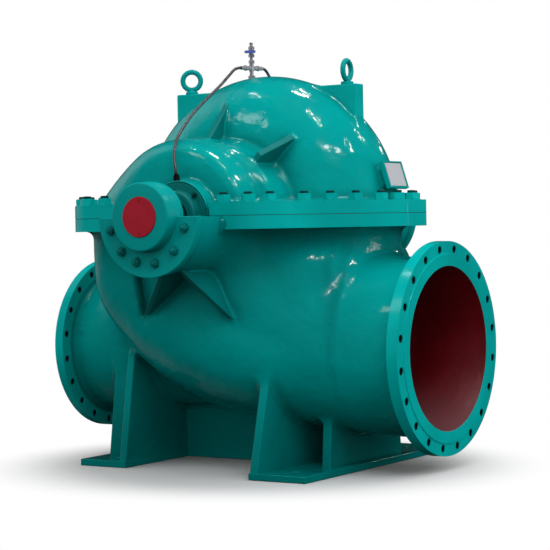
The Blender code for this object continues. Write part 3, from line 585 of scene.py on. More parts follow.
print("side view", len(ARM) + len(ARM_TOP), "points, swell", len(SWELL), "ovals")

# %% [markdown]
# ## What stands under the casing
# The lower field joins bowl, neck, volute, collar, brackets, feet and flanges one after another,
# each with the fillet that the casting shows there. Plates that later get a crisp mesh of their own
# are a little thinner here, by the inset, so that the mesh covers them and the fillet grows out of it.

# %% Webs and gussets under the casing
INSET = 0.0015
SOLE = 0.025
WEBS = (
    ("left_web", -0.426, -0.395, 0.426, 0.330, 0.56),
    ("right_web", 0.222, 0.255, 0.516, 0.400, 0.45),
    ("outer_web", 0.374, 0.410, 0.268, 0.250, 0.22),
)
FOOT_RIB = (0.228, 0.258)
TIE_HALF = 0.020
TIE_TOP = 0.32
GUSSETS = (("right", 0.050, 0.125), ("left", -0.017, -0.219))
GUSSET_MARK = -0.19
GUSSET_DROP = 0.16
GUSSET_HALF = 0.0125
GUSSET_TOP = -0.17
GUSSET_FOOT = -0.42
GUSSET_REACH = 0.700
GUSSET_SLOPE = 0.270 / 0.25


def web_face(half_foot, half_top, top, foot=0.0):
    """The outline of a web: wide on its sole and narrow under the bowl."""
    return [(-half_foot, foot), (half_foot, foot), (half_top, top), (-half_top, top)]


def foot_rib_face(foot=0.0):
    return [(-0.600, foot), (-0.403, foot), (-0.403, 0.42), (-0.555, 0.42)]


def gusset_lean(top, foot):
    """Metres that a gusset runs sideways for each metre down, from its two places on the mark."""
    return (foot - top) / GUSSET_DROP


print("webs", len(WEBS), "gussets on each side", len(GUSSETS))

# %% [markdown]
# Both pipe ends are the same form in two sizes, so one table holds them: the word, the way out
# along X, the face, the radii of bore and rim, the thickness, the radii of bolt circle, hole and
# raised face, and the depth at which the bore ends.

# %% Pipe ends
NOZZLES = (
    ("suction", 1, 0.762, 0.298, 0.390, 0.045, 0.3625, 0.015, 0.3430, 0.46),
    ("discharge", -1, -0.800, 0.240, 0.335, 0.040, 0.310, 0.013, 0.2925, 0.34),
)
RIM_UNDER = {"suction": 0.345, "discharge": 0.294}
SOCKET_WALL = 0.004


def bore_distance(g, out, face, bore, depth):
    """Distance to a bore that ends in a rounded wall."""
    dome = np.maximum(out * (face - g.x) - (depth - bore * 0.6), 0) / 0.6
    return np.hypot(np.hypot(g.y, g.z - NOZZLE_Z), dome) - bore


print("nozzles", [row[0] for row in NOZZLES])

# %% Lower field
low_grid = Grid((-0.80, -0.64, 0.02), (0.78, 0.64, 0.955), 0.0085)


def lower_feet(g):
    """Webs, tie wall and foot ribs, each thinner by the inset."""
    feet = np.maximum(slab(g.x, -0.40, 0.23), np.maximum(g.side - TIE_HALF + INSET, g.z - TIE_TOP))
    for name, low, high, half_foot, half_top, top in WEBS:
        face = within(web_face(half_foot, half_top, top), g.y, g.z)
        feet = np.minimum(feet, np.maximum(face, slab(g.x, low + INSET, high - INSET)))
    ribs = slab(g.side, FOOT_RIB[0] + INSET, FOOT_RIB[1] - INSET)
    return np.minimum(feet, np.maximum(within(foot_rib_face(), g.x, g.z), ribs))


def gusset_field(g, top, foot):
    """A thin leaning rib from the bearing bracket down to the bowl."""
    lean = gusset_lean(top, foot)
    middle = top + lean * (GUSSET_MARK - g.rise)
    rib = (np.abs(g.x - middle) - GUSSET_HALF) / math.hypot(1, lean) + INSET
    edge = (g.side - GUSSET_REACH) + (GUSSET_TOP - g.rise) * GUSSET_SLOPE
    rib = np.maximum(rib, edge / math.hypot(1, GUSSET_SLOPE))
    return np.maximum(np.maximum(rib, slab(g.rise, GUSSET_FOOT, -0.15)), 0.40 - g.side)


def recess_beside_gusset(g):
    """A shallow hollow of the bowl between the left gusset and an edge further left."""
    word, top, foot = GUSSETS[1]
    lean = gusset_lean(top, foot)
    gusset_side = (g.x - top - 0.012 - lean * (GUSSET_MARK - g.rise)) / math.hypot(1, lean)
    outer_side = -0.300 + 0.20 * (0.80 - g.z) - g.x
    back_and_ends = np.maximum(slab(g.z, 0.50, 0.82), 0.450 - g.side)
    return np.maximum(np.maximum(outer_side, gusset_side), back_and_ends)


def lower_field(g):
    """The lower casting: solids joined first, then the bores and troughs taken out."""
    body = bowl(g)
    body = join(body, oval_row(g, NECK, 2.0, 0.01), 0.05)
    body = join(body, volute_ring(g), 0.05)
    body = join(body, oval_row(g, SWELL, 3.0, 0.01), 0.03)
    collar = as_distance(np.sqrt((g.x / 0.515) ** 2 + (g.y / 0.440) ** 2) - 1, g.step)
    body = join(body, np.maximum(collar, 0.66 - g.z), 0.03)
    body = trim(body, recess_beside_gusset(g), 0.016)
    barrel = np.maximum(g.spoke - BARREL_R + INSET, slab(g.side, 0.30, 0.75))
    body = join(body, barrel, 0.070)
    for word, top, foot in GUSSETS:
        body = join(body, gusset_field(g, top, foot), 0.012)
    body = join(body, lower_feet(g), 0.030)
    flange = np.maximum(slab(g.z, 0.893, 0.970), outline_distance(g, 0.002))
    body = join(body, flange, 0.034)
    for word, out, face, bore, rim, thick, *rest in NOZZLES:
        ring = np.hypot(g.y, g.z - NOZZLE_Z) - RIM_UNDER[word] + INSET
        back_face = out * (face - g.x) - thick - INSET
        disc = np.maximum(ring, np.maximum(back_face, out * (g.x - face) + 0.006))
        body = join(body, disc, 0.020)
    for word, out, face, bore, *rest, depth in NOZZLES:
        body = np.maximum(body, -bore_distance(g, out, face, bore + SOCKET_WALL, depth))
    trough = np.maximum(g.spoke - 0.162, slab(g.side, 0.590, 0.80))
    body = np.maximum(body, -trough)
    seat = np.maximum(g.spoke - 0.125, slab(g.side, 0.690, 0.90))
    body = np.maximum(body, -seat)
    return np.maximum(body, g.z - 0.930)


# %% [markdown]
# ## The split flange's outline
# The two castings meet in a flange whose edge is not a rectangle: its front runs straight, turns
# round the right corner in a big arc and then slants to the suction side. It is the outline of the
# solid, worked out again from the same corners, and the distance to it is what the fields need.

# %% Outline and its distance
SPLIT_PLAN = (
    (0.640, -0.070, 0.035), (0.401, -0.484, 0.080), (0.365, -0.620, 0.165),
    (-0.497, -0.620, 0.150), (-0.648, -0.070, 0.030),
)


def rounded(corners, radii, steps):
    """An outline with each corner replaced by an arc."""
    outline = []
    for i, (corner, radius) in enumerate(zip(corners, radii)):
        here = Vector(corner)
        before = (Vector(corners[i - 1]) - here).normalized()
        after = (Vector(corners[(i + 1) % len(corners)]) - here).normalized()
        half = before.angle(after) / 2
        centre = here + (before + after).normalized() * (radius / math.sin(half))
        first = here + before * (radius / math.tan(half)) - centre
        last = here + after * (radius / math.tan(half)) - centre
        for k in range(steps + 1):
            outline.append(tuple(centre + first.lerp(last, k / steps).normalized() * radius))
    return outline


def split_outline(steps=10):
    corners = list(SPLIT_PLAN) + [(x, -y, radius) for x, y, radius in reversed(SPLIT_PLAN)]
    return rounded([corner[:2] for corner in corners], [corner[2] for corner in corners], steps)


def outline_distance(grid, inset):
    """Distance from the outline of the split flange, negative inside it."""
    x = grid.x[:, :, 0].astype(float)
    y = grid.y[:, :, 0].astype(float)
    signed = edge_distance(x, y, split_outline()) + inset
    return signed[:, :, None].astype(np.float32)


print("split flange", len(split_outline()), "points")

# %% Lower skin
lower_skin = skin("lower_casing_skin", low_grid, lower_field(low_grid))
lower_body = piece("lower_casing_skin", lower_skin, casting_enamel)
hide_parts("lower_casing")

# %% [markdown]
# ## The upper casting
# The cover is the other half of the volute, with two suction chambers in front and behind that
# wind round the shaft like a snail: narrow on the right, wide on the left. Short ribs stiffen the
# crown, two lugs carry the eyebolts, and a small boss on the right carries the nameplate.

# %% Upper field
CHAMBER_SPIRAL = ((0, 0.225), (15, 0.228), (73, 0.255), (103, 0.293), (137, 0.366), (153, 0.404),
                  (165, 0.448), (173, 0.490), (180, 0.532), (270, 0.340), (360, 0.225))
PLATE_SEAT = Matrix.Translation((0.530, 0.0, 1.0745)) @ Matrix.Rotation(math.radians(-17.6), 4, "Y")
CROWN_RIB = ((0.15, 0.22), (0.36, 0.22), (0.36, 0.27), (0.20, 0.435), (0.10, 0.435))
SIDE_RIB = ((0.15, 0.20), (0.375, 0.20), (0.375, 0.30), (0.24, 0.385), (0.15, 0.385))
TOP_RIBS = (("crown_rib", CROWN_RIB, -0.060, -0.035, 0), ("side_rib", SIDE_RIB, -0.012, 0.012, 42))
LUG_X = (0.20, 0.407)
LUG_HALF = 0.028
LUG_TOP = 1.423
high_grid = Grid((-0.68, -0.66, 0.93), (0.68, 0.66, 1.50), 0.0072)


def chamber(g):
    """The two suction chambers: a spiral round the shaft with a rounded nose at each end."""
    angle = np.degrees(np.arctan2(g.rise, g.x)) % 360
    outer = flow(CHAMBER_SPIRAL, angle)
    nose = np.clip((g.side - 0.400) / 0.140, 0, 0.999)
    waist = 1 - 0.28 * np.clip((0.40 - g.side) / 0.20, 0, 1) ** 2
    share = np.where(g.side > 0.400, np.sqrt(1 - nose ** 2), waist)
    radius = 0.215 * (1 - share) + outer * share
    return both(as_distance(g.spoke - radius, g.step), g.side - 0.540, 0.030)


def spoke_plate(g, corners, low, high, lean=0.0):
    """A rib in a plane that holds the shaft's direction, from (distance, height) corners."""
    c = math.cos(math.radians(lean))
    s = math.sin(math.radians(lean))
    across = g.x * c - g.rise * s
    out = g.x * s + g.rise * c
    return np.maximum(within(corners, g.side, out), slab(across, low, high))


def upper_field(g):
    """The cover: volute, chambers, gland boxes, ribs, lugs, flange and the plate's boss."""
    body = join(volute_ring(g), chamber(g), 0.045)
    body = join(body, both(g.spoke - 0.262, g.side - 0.398, 0.03), 0.030)
    box = np.maximum(g.spoke - 0.128 + INSET, g.side - 0.590)
    body = join(body, box, 0.025)
    for word, corners, low, high, lean in TOP_RIBS:
        rib = spoke_plate(g, corners, low + INSET, high - INSET, lean)
        body = join(body, rib + INSET, 0.016)
    lug_side = slab(np.abs(g.x), LUG_X[0], LUG_X[1] - INSET)
    lugs = np.maximum(lug_side, np.maximum(g.side - LUG_HALF + INSET, g.z - LUG_TOP + INSET))
    body = join(body, lugs, 0.022)
    flange = np.maximum(slab(g.z, 0.91, 0.987), outline_distance(g, 0.002))
    body = join(body, flange, 0.022)
    back_turn = PLATE_SEAT.inverted()
    u = back_turn[0][0] * g.x + back_turn[0][2] * g.z + back_turn[0][3]
    w = back_turn[2][0] * g.x + back_turn[2][2] * g.z + back_turn[2][3]
    boss = np.maximum(slab(u, -0.10, 0.012), np.maximum(g.side - 0.046 + INSET, np.abs(w) - 0.036 + INSET))
    body = join(body, boss, 0.014)
    notch = np.maximum(g.spoke - 0.150, 0.594 - g.side)
    body = np.maximum(body, -notch)
    return np.maximum(body, 0.948 - g.z)


# %% Upper skin
upper_skin = skin("upper_casing_skin", high_grid, upper_field(high_grid))
upper_body = piece("upper_casing_skin", upper_skin, casting_enamel)
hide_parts("upper_casing")
del low_grid, high_grid

# %% [markdown]
# ## Machined parts
# Flanges, webs and housings are cut or planed, so they keep crisp edges with a small bevel, which
# catches a line of light. Outlines are extruded, round parts are turned from a profile, and holes
# are cut with Booleans before the bevel, so that the bevel also runs round each hole.

# %% Plates, turned parts and cutting
SIDES = ((-1, "front"), (1, "rear"))
ON_SHAFT = Matrix.Translation((0, 0, SHAFT_Z))
SHAFT_FRAME = {}
for hand, word in SIDES:
    turned_to = Matrix(((1, 0, 0, 0), (0, 0, hand, 0), (0, -hand, 0, 0), (0, 0, 0, 1)))
    SHAFT_FRAME[hand] = ON_SHAFT @ turned_to
ACROSS_X = Matrix(((0, 0, 1, 0), (1, 0, 0, 0), (0, 1, 0, 0), (0, 0, 0, 1)))
ACROSS_Y = Matrix(((1, 0, 0, 0), (0, 0, -1, 0), (0, 1, 0, 0), (0, 0, 0, 1)))
LEVEL = Matrix.Identity(4)


def mesh_of(name, form):
    """Turns a BMesh with its faces outward into a mesh."""
    bmesh.ops.recalc_face_normals(form, faces=form.faces)
    mesh = bpy.data.meshes.new(name)
    form.to_mesh(mesh)
    form.free()
    return mesh


def add_plate(form, corners, low, high, frame=LEVEL):
    """An outline of (u, v) corners between two values of the frame's third direction."""
    rows = [[form.verts.new(frame @ Vector((u, v, w))) for u, v in corners] for w in (low, high)]
    form.faces.new(rows[0])
    form.faces.new(rows[1])
    for k in range(len(corners)):
        j = (k + 1) % len(corners)
        form.faces.new((rows[0][k], rows[0][j], rows[1][j], rows[1][k]))
    return form


def add_turned(form, rows, frame, steps=96, closed=False):
    """Rows of (radius, along) turned about the frame's third direction."""
    rings = []
    for radius, along in rows:
        if radius < 1e-6:
            rings.append([form.verts.new(frame @ Vector((0, 0, along)))])
            continue
        turns = [2 * math.pi * k / steps for k in range(steps)]
        spots = [Vector((radius * math.cos(a), radius * math.sin(a), along)) for a in turns]
        rings.append([form.verts.new(frame @ spot) for spot in spots])
    pairs = list(zip(rings, rings[1:]))
    if closed:
        pairs.append((rings[-1], rings[0]))
    for near, far in pairs:
        for k in range(steps):
            j = (k + 1) % steps
            corners = [near[k % len(near)], near[j % len(near)], far[j % len(far)], far[k % len(far)]]
            corners = list(dict.fromkeys(corners))
            if len(corners) > 2:
                form.faces.new(corners)
    return form


def worked(thing):
    """Works a thing's modifiers into its mesh."""
    seen = bpy.context.evaluated_depsgraph_get()
    mesh = bpy.data.meshes.new_from_object(thing.evaluated_get(seen), depsgraph=seen)
    thing.modifiers.clear()
    thing.data = mesh
    return thing


def cut(thing, tools):
    """Takes the tools out of a thing one after another, and removes them."""
    for tool in tools:
        step = thing.modifiers.new("cut", "BOOLEAN")
        step.operation = "DIFFERENCE"
        step.solver = "EXACT"
        step.object = tool
    bpy.context.view_layer.update()
    worked(thing)
    for tool in tools:
        bpy.data.objects.remove(tool, do_unlink=True)
    return thing


def bevel(thing, width, segments=2, angle=32):
    """Rounds the sharp edges and works out normals that keep the flat faces flat."""
    step = thing.modifiers.new("bevel", "BEVEL")
    step.width = width
    step.segments = segments
    step.limit_method = "ANGLE"
    step.angle_limit = math.radians(angle)
    step.use_clamp_overlap = True
    step.harden_normals = True
    thing.data.shade_smooth()
    thing.data.set_sharp_from_angle(angle=math.radians(angle))
    bpy.context.view_layer.update()
    return worked(thing)


def tool_of(name, form):
    thing = bpy.data.objects.new(name, mesh_of(name, form))
    bpy.context.scene.collection.objects.link(thing)
    return thing


def round_tool(frame, radius, low, high, steps=64):
    rows = [(0, low), (radius, low), (radius, high), (0, high)]
    return tool_of("round_tool", add_turned(bmesh.new(), rows, frame, steps))


def rectangle(u0, u1, v0, v1):
    return [(u0, v0), (u1, v0), (u1, v1), (u0, v1)]


def level_tool(low, high):
    """A wide block that cuts away all that lies between two heights."""
    return tool_of("level_tool", add_plate(bmesh.new(), rectangle(-0.3, 0.3, -0.9, 0.9), low, high))


def rounded_corner(radius, along, small, steps):
    """Rows of a turned profile that round its outer corner."""
    angles = [math.pi / 2 * k / steps for k in range(steps + 1)]
    return [(radius - small + small * math.sin(a), along - small + small * math.cos(a)) for a in angles]


# %% [markdown]
# ## The split flange
# Two thick plates with the same outline meet on a thin joint sheet, which shows as a dark line.
# In front and behind, the plates leave room for the glands.

# %% Split flange plates
SPLIT = 0.047
SHEET_HALF = 0.001
SPLIT_TOP = SHAFT_Z + SHEET_HALF + SPLIT
BOX_BORE = 0.061
for word, low, high, gland_room in (("lower", SHAFT_Z - SHEET_HALF - SPLIT, SHAFT_Z - SHEET_HALF, 0.158),
                                    ("upper", SHAFT_Z + SHEET_HALF, SPLIT_TOP, 0.146)):
    form = add_plate(bmesh.new(), split_outline(14), low, high)
    # The plates take the lighter enamel, painted light on the flange edges.
    plate = piece(word + "_split_flange", mesh_of(word + "_flange", form), lit_flange_enamel)
    tools = [round_tool(SHAFT_FRAME[hand], gland_room, 0.593, 0.720) for hand in (-1, 1)]
    tools += [round_tool(SHAFT_FRAME[hand], BOX_BORE, 0.50, 0.65) for hand in (-1, 1)]
    bevel(cut(plate, tools), 0.0025)
    print(plate.name, len(plate.data.polygons), "faces")

# %% [markdown]
# ## Feet
# Two long soles carry upright webs that grow into the bowl, and a wall ties them together. They are
# plates of the same casting, so their edges are rounded a little more than a machined one.

# %% Soles and webs
def plate_piece(name, corners, low, high, frame=LEVEL, edge=0.004, holes=(), finish=None):
    """A cast plate with holes and rounded edges."""
    form = add_plate(bmesh.new(), corners, low, high, frame)
    thing = piece(name, mesh_of(name, form), finish or casting_enamel)
    if holes:
        cut(thing, list(holes))
    return bevel(thing, edge, 3)


FEET = (
    ("left", -0.607, -0.393, 0.430, (-0.505, 0.345)),
    ("right", 0.220, 0.460, 0.520, (0.360, 0.420)),
)
ANCHOR_R = 0.014
IN_SOLE = 0.012
for word, low, high, reach, anchor in FEET:
    places = [Matrix.Translation((anchor[0], hand * anchor[1], 0)) for hand in (-1, 1)]
    holes = [round_tool(at, ANCHOR_R, -0.02, 0.05, 32) for at in places]
    plate_piece(word + "_sole", rectangle(low, high, -reach, reach), 0.0, SOLE, holes=holes)
for word, low, high, half_foot, half_top, top in WEBS:
    plate_piece(word, web_face(half_foot, half_top, top, IN_SOLE), low, high, ACROSS_X)
plate_piece("tie_wall", rectangle(-0.403, 0.230, 0.0, TIE_TOP), -TIE_HALF, TIE_HALF, ACROSS_Y)
for hand, word in SIDES:
    low, high = sorted(-hand * edge for edge in FOOT_RIB)
    plate_piece(word + "_foot_rib", foot_rib_face(IN_SOLE), low, high, ACROSS_Y)
print("feet done")

# %% [markdown]
# ## Ribs, lugs and the plate's boss
# The thin ribs are cast too. The fields above hold a copy of each that is a little thinner, so the
# fillet grows out of the crisp plate and no step shows between them.

# %% Ribs and lugs
GUSSET_FACE = [(GUSSET_REACH, GUSSET_TOP), (0.43, GUSSET_TOP), (0.43, GUSSET_FOOT)]
for hand, side_word in SIDES:
    mirror = ON_SHAFT @ Matrix.Diagonal((1, hand, 1, 1))
    for word, corners, low, high, degrees in TOP_RIBS:
        stand = mirror @ Matrix.Rotation(math.radians(degrees), 4, "Y") @ ACROSS_X
        # The ribs take the darker enamel, painted shade.
        plate_piece(side_word + "_" + word, corners, low, high, stand, finish=shaded_enamel)
    for word, top, foot in GUSSETS:
        lean = gusset_lean(top, foot)
        at_mark = top + lean * GUSSET_MARK
        shear = Matrix(((1, 0, -lean, at_mark), (0, 1, 0, 0), (0, 0, 1, 0), (0, 0, 0, 1)))
        under = mirror @ shear @ ACROSS_X
        name = side_word + "_" + word + "_gusset"
        # The gussets take the darker enamel, painted shade.
        plate_piece(name, GUSSET_FACE, -GUSSET_HALF, GUSSET_HALF, under, finish=shaded_enamel)
for hand, word in ((-1, "left"), (1, "right")):
    low, high = sorted(hand * edge for edge in LUG_X)
    corners = rectangle(low, high, 1.15, LUG_TOP)
    # The lugs take the lighter enamel, painted light.
    plate_piece(word + "_lug", corners, -LUG_HALF, LUG_HALF, ACROSS_Y, 0.005, finish=lit_flange_enamel)
boss = PLATE_SEAT @ ACROSS_X
bed = add_plate(bmesh.new(), rectangle(-0.0605, 0.0605, -0.0465, 0.0465), 0.0215, 0.04, boss)
corners = rectangle(-0.071, 0.071, -0.052, 0.052)
plate_piece("nameplate_boss", corners, 0.008, 0.0255, boss, 0.0025, holes=[tool_of("plate_bed", bed)])
print("ribs and lugs done")

# %% [markdown]
# ## Bearing brackets and housings
# A half barrel reaches out of the lower casting and carries the bearing. Its inside is a trough
# that catches drips from the gland. The round housing bolts to its end with a half flange.

# %% Bracket barrels
GROOVE_R = 0.1955
BARREL_END = 0.7597
for hand, word in SIDES:
    along = SHAFT_FRAME[hand]
    rows = [(0, 0.42), (BARREL_R, 0.42), (BARREL_R, 0.722), (GROOVE_R, 0.728), (GROOVE_R, 0.744),
            (BARREL_R, 0.750), (BARREL_R, BARREL_END), (0, BARREL_END)]
    form = add_turned(bmesh.new(), rows, along, 128)
    barrel = piece(word + "_bracket", mesh_of(word + "_bracket", form), machined_enamel)
    tools = [level_tool(SHAFT_Z - SHEET_HALF, SHAFT_Z + 0.3), round_tool(along, 0.158, 0.593, 0.7197, 96)]
    tools += [round_tool(along, 0.121, 0.70, 0.80, 96), round_tool(along, BOX_BORE, 0.50, 0.65)]
    bevel(cut(barrel, tools), 0.0025)
    print(barrel.name, len(barrel.data.polygons), "faces")

# %% Bearing housings
HOUSING_R = 0.1207
HOUSING_END = 0.836
LIP = [(0.118, 0.760), (0.213, 0.760), (0.213, 0.790), (0.118, 0.790)]
for (hand, word), bore in zip(SIDES, (0.0711, 0.0575)):
    along = SHAFT_FRAME[hand]
    rows = [(bore, HOUSING_END)] + rounded_corner(HOUSING_R, HOUSING_END, 0.007, 5)
    rows += [(HOUSING_R, 0.798), (0.124, 0.792), (0.124, 0.760), (HOUSING_R, 0.758), (HOUSING_R, 0.742),
             (0.1180, 0.739), (0.088, 0.739), (0.085, 0.736), (0.085, 0.695), (0.0453, 0.695),
             (0.0453, 0.816), (bore, 0.816), (bore, 0.832)]
    form = add_turned(bmesh.new(), rows, along, 128, True)
    housing = piece(word + "_housing", mesh_of(word + "_housing", form), machined_enamel)
    bevel(housing, 0.0008, 1, 40)
    lip = add_turned(bmesh.new(), LIP, along, 128, True)
    flange = piece(word + "_housing_flange", mesh_of(word + "_lip", lip), machined_enamel)
    bevel(cut(flange, [level_tool(SHAFT_Z, SHAFT_Z + 0.3)]), 0.003, 3)
    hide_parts(word + "_bearing_housing")
print("bearings done")

# %% [markdown]
# ## Pipe flanges and bores
# Each flange is a turned disc with a raised face and twenty drilled holes. The bore behind it is
# painted with a dark red primer, so it is a turned lining of its own.

# %% Bore primer
primer = Finish("red_primer_in_bore", (0.170, 0.001, 0.006), 0.42, 0.0, Specular_IOR_Level=0.25)
tone = primer.step(primer.noise(5.0, 4.0, 0.6), 0.3, 0.75)
# The primer turns paler towards the bottom of the bore.
paler_lower_down = 1 - primer.step(primer.height() + 0.03 * primer.noise(9.0, 4.0, 0.6), 0.10, 0.36)
deep = primer.mix(tone, (0.120, 0.001, 0.004, 1), (0.175, 0.002, 0.007, 1))
primer.feed("Base Color", primer.mix(0.62 * paler_lower_down, deep, (0.150, 0.090, 0.095, 1)))
primer.feed("Roughness", 0.34 + 0.2 * primer.noise(14.0, 3.0))
rough_cast = primer.noise(32.0, 3.0, 0.6) + 0.6 * primer.noise(9.0, 2.0)
primer.feed("Normal", primer.bump(rough_cast, 0.5, 0.003))

# %% [markdown]
# Each bolt hole gets a thin dark sleeve of its own instead of the paint: painted shade for the shadow deep in
# the hole.

# %% Painted shade in the bolt holes
# Painted shade: a near-black lining for the bolt holes.
hole_shade = Finish("hole_wall_painted_shade", (0.006, 0.022, 0.026), 0.5, 0.3, Specular_IOR_Level=0.3)
hole_shade.feed("Roughness", 0.40 + 0.25 * hole_shade.noise(220.0, 2.0))
hole_shade_tone = hole_shade.mix(hole_shade.noise(90.0, 2.0), (0.003, 0.014, 0.018, 1), (0.010, 0.032, 0.036, 1))
hole_shade.feed("Base Color", hole_shade_tone)

# %% Flanges
HOLES = 20


def flipped(thing):
    """The faces turned over, for a wall that is seen from inside."""
    for face in thing.data.polygons:
        face.flip()


for word, out, face, bore, rim, thick, pitch, hole, raised, depth in NOZZLES:
    toward = Matrix(((0, 0, out, face), (1, 0, 0, 0), (0, out, 0, NOZZLE_Z), (0, 0, 0, 1)))
    rows = [(bore + 0.002, -0.080), (bore + 0.002, 0.0), (raised, 0.0), (raised + 0.002, -0.003),
            (rim, -0.003), (rim, -thick), (bore + 0.012, -thick), (bore + 0.012, -0.080)]
    form = add_turned(bmesh.new(), rows, toward, 128, True)
    # The flange takes the lighter enamel, painted light.
    flange = piece(word + "_flange", mesh_of(word + "_flange", form), lit_flange_enamel)
    turns = [2 * math.pi * (i + 0.5) / HOLES for i in range(HOLES)]
    places = [toward @ Matrix.Translation((pitch * math.cos(a), pitch * math.sin(a), 0)) for a in turns]
    tools = [round_tool(at, hole, -thick - 0.02, 0.02, 28) for at in places]
    bevel(cut(flange, tools), 0.0022, 2)
    form = bmesh.new()
    for at in places:
        add_turned(form, [(hole - 0.0001, -thick + 0.003), (hole - 0.0001, -0.0062)], at, 28)
    flipped(piece(word + "_hole_walls", mesh_of(word + "_holes", form), hole_shade))
    quarter = [math.pi / 2 * k / 12 for k in range(13)]
    dome = [(bore * math.cos(a), -depth + bore * 0.6 * (1 - math.sin(a))) for a in quarter]
    rows = [(bore + 0.0021, -0.0008), (bore, -0.003)] + dome
    form = add_turned(bmesh.new(), rows, toward, 128)
    lining = piece(word + "_bore_lining", mesh_of(word + "_bore", form), primer)
    lining.data.shade_smooth()
    flipped(lining)
    print(word, "flange", len(flange.data.polygons), "faces")

# %% [markdown]
# ## Nuts and bolts
# The split flange is held by studs with hexagon nuts, and the housings by hexagon bolts with
# washers. Each is turned and chamfered as the real one is, and all of a kind are one mesh.

# %% Hexagons
CHAMFER_SLOPE = 0.58


def add_hexagon(form, frame, flats, low, high):
    """A hexagon with both ends chamfered to a circle, as a nut is."""
    half = flats / 2
    rise = (flats / math.sqrt(3) - half) * CHAMFER_SLOPE + 0.0012
    steps = 36
    rings = []
    for level, inward in ((low, 0), (low + rise, -1), (high - rise, 1), (high, 0)):
        ring = []
        for k in range(steps):
            angle = 2 * math.pi * k / steps
            radius = half / math.cos((angle + math.pi / 6) % (math.pi / 3) - math.pi / 6)
            along = level + inward * (rise - (radius - half) * CHAMFER_SLOPE)
            if not inward:
                radius = min(radius, half * 0.97)
            spot = Vector((radius * math.cos(angle), radius * math.sin(angle), along))
            ring.append(form.verts.new(frame @ spot))
        rings.append(ring)
    form.faces.new(rings[0])
    form.faces.new(rings[-1])
    for near, far in zip(rings, rings[1:]):
        for k in range(steps):
            j = (k + 1) % steps
            form.faces.new((near[k], near[j], far[j], far[k]))
    return form


def bolt(form, frame, flats, tall, stud, washer=None, ends=None, end_height=0.0045):
    """A nut or head on its seat, with a washer under it and a rounded stud end above it."""
    base = 0.0
    if washer:
        rows = [(0, 0), (washer, 0), (washer, 0.0025), (washer - 0.0008, 0.0033), (0, 0.0033)]
        add_turned(form, rows, frame, 32)
        base = 0.0033
    add_hexagon(form, frame, flats, base, base + tall)
    top = base + tall
    tip = top + end_height
    rows = [(0, top - 0.002), (stud, top - 0.002), (stud, tip), (stud - 0.002, tip + 0.002),
            (0, tip + 0.0027)]
    add_turned(form if ends is None else ends, rows, frame, 24)
    return form


def fastener_piece(name, form, finish):
    mesh = mesh_of(name, form)
    mesh.shade_smooth()
    mesh.set_sharp_from_angle(angle=math.radians(28))
    print(name, len(mesh.polygons), "faces")
    return piece(name, mesh, finish)


# %% Nuts of the split flange
FRONT_NUTS = ((0.180, -0.580), (0.272, -0.563), (0.334, -0.516), (0.400, -0.396), (0.4535, -0.305),
              (0.506, -0.214), (0.5585, -0.123), (0.588, -0.052), (-0.245, -0.583), (-0.345, -0.583),
              (-0.435, -0.572), (-0.500, -0.515), (-0.534, -0.425), (-0.554, -0.325), (-0.572, -0.225),
              (-0.590, -0.125), (-0.600, -0.040))
form = bmesh.new()
ends = bmesh.new()
twist = 0.0
for x, y in FRONT_NUTS:
    for hand in (1, -1):
        twist += 0.7
        at = Matrix.Translation((x, hand * y, SPLIT_TOP)) @ Matrix.Rotation(twist, 4, "Z")
        bolt(form, at, 0.046, 0.023, 0.0150, 0.0275, ends, 0.0070)
# The nuts take the lighter enamel, painted light.
fastener_piece("split_flange_nuts", form, lit_flange_enamel)
# The stud ends take the near-black teal, painted shadow.
fastener_piece("split_flange_stud_ends", ends, stud_shadow_enamel)

# %% Bolts of the bearing housings
PLATE_BOLTS = (-14, -46, -79, -107, -133, -164)
PLATE_BOLT_CIRCLE_R = 0.164


def round_the_shaft(hand, radius, along, degrees, turns):
    """A bolt's place on a circle round the shaft, itself twisted by some turns of that angle."""
    angle = math.radians(degrees)
    spot = Matrix.Translation((radius * math.cos(angle), 0, radius * math.sin(angle)))
    twisted = Matrix.Translation((0, 0, along)) @ Matrix.Rotation(angle * turns, 4, "Z")
    return spot @ SHAFT_FRAME[hand] @ twisted


form = bmesh.new()
for hand, word in SIDES:
    for degrees in PLATE_BOLTS:
        at = round_the_shaft(hand, PLATE_BOLT_CIRCLE_R, 0.790, degrees, 3)
        bolt(form, at, 0.026, 0.012, 0.0080, 0.0175)
# The housing bolts take the darker enamel, painted shade.
fastener_piece("housing_bolts", form, shaded_enamel)

# %% [markdown]
# ## The red disc, the glands and the stuffing boxes
# The front bearing is closed by a red disc with two slotted screws. Behind each housing the gland
# presses the packing into the stuffing box: a round plate with a rounded nose, on small bolts.

# %% Red enamel and the disc
red_enamel = Finish("red_enamel_disc", (0.420, 0.010, 0.024), 0.36, 0.0, Specular_IOR_Level=0.2)
tone = red_enamel.step(red_enamel.noise(9.0, 3.0), 0.3, 0.75)
red_enamel.feed("Base Color", red_enamel.mix(tone, (0.390, 0.008, 0.022, 1), (0.450, 0.012, 0.028, 1)))
red_enamel.feed("Roughness", 0.32 + 0.10 * red_enamel.noise(30.0, 2.0))
red_enamel.feed("Normal", red_enamel.bump(red_enamel.noise(160.0, 2.0), 0.15, 0.001))

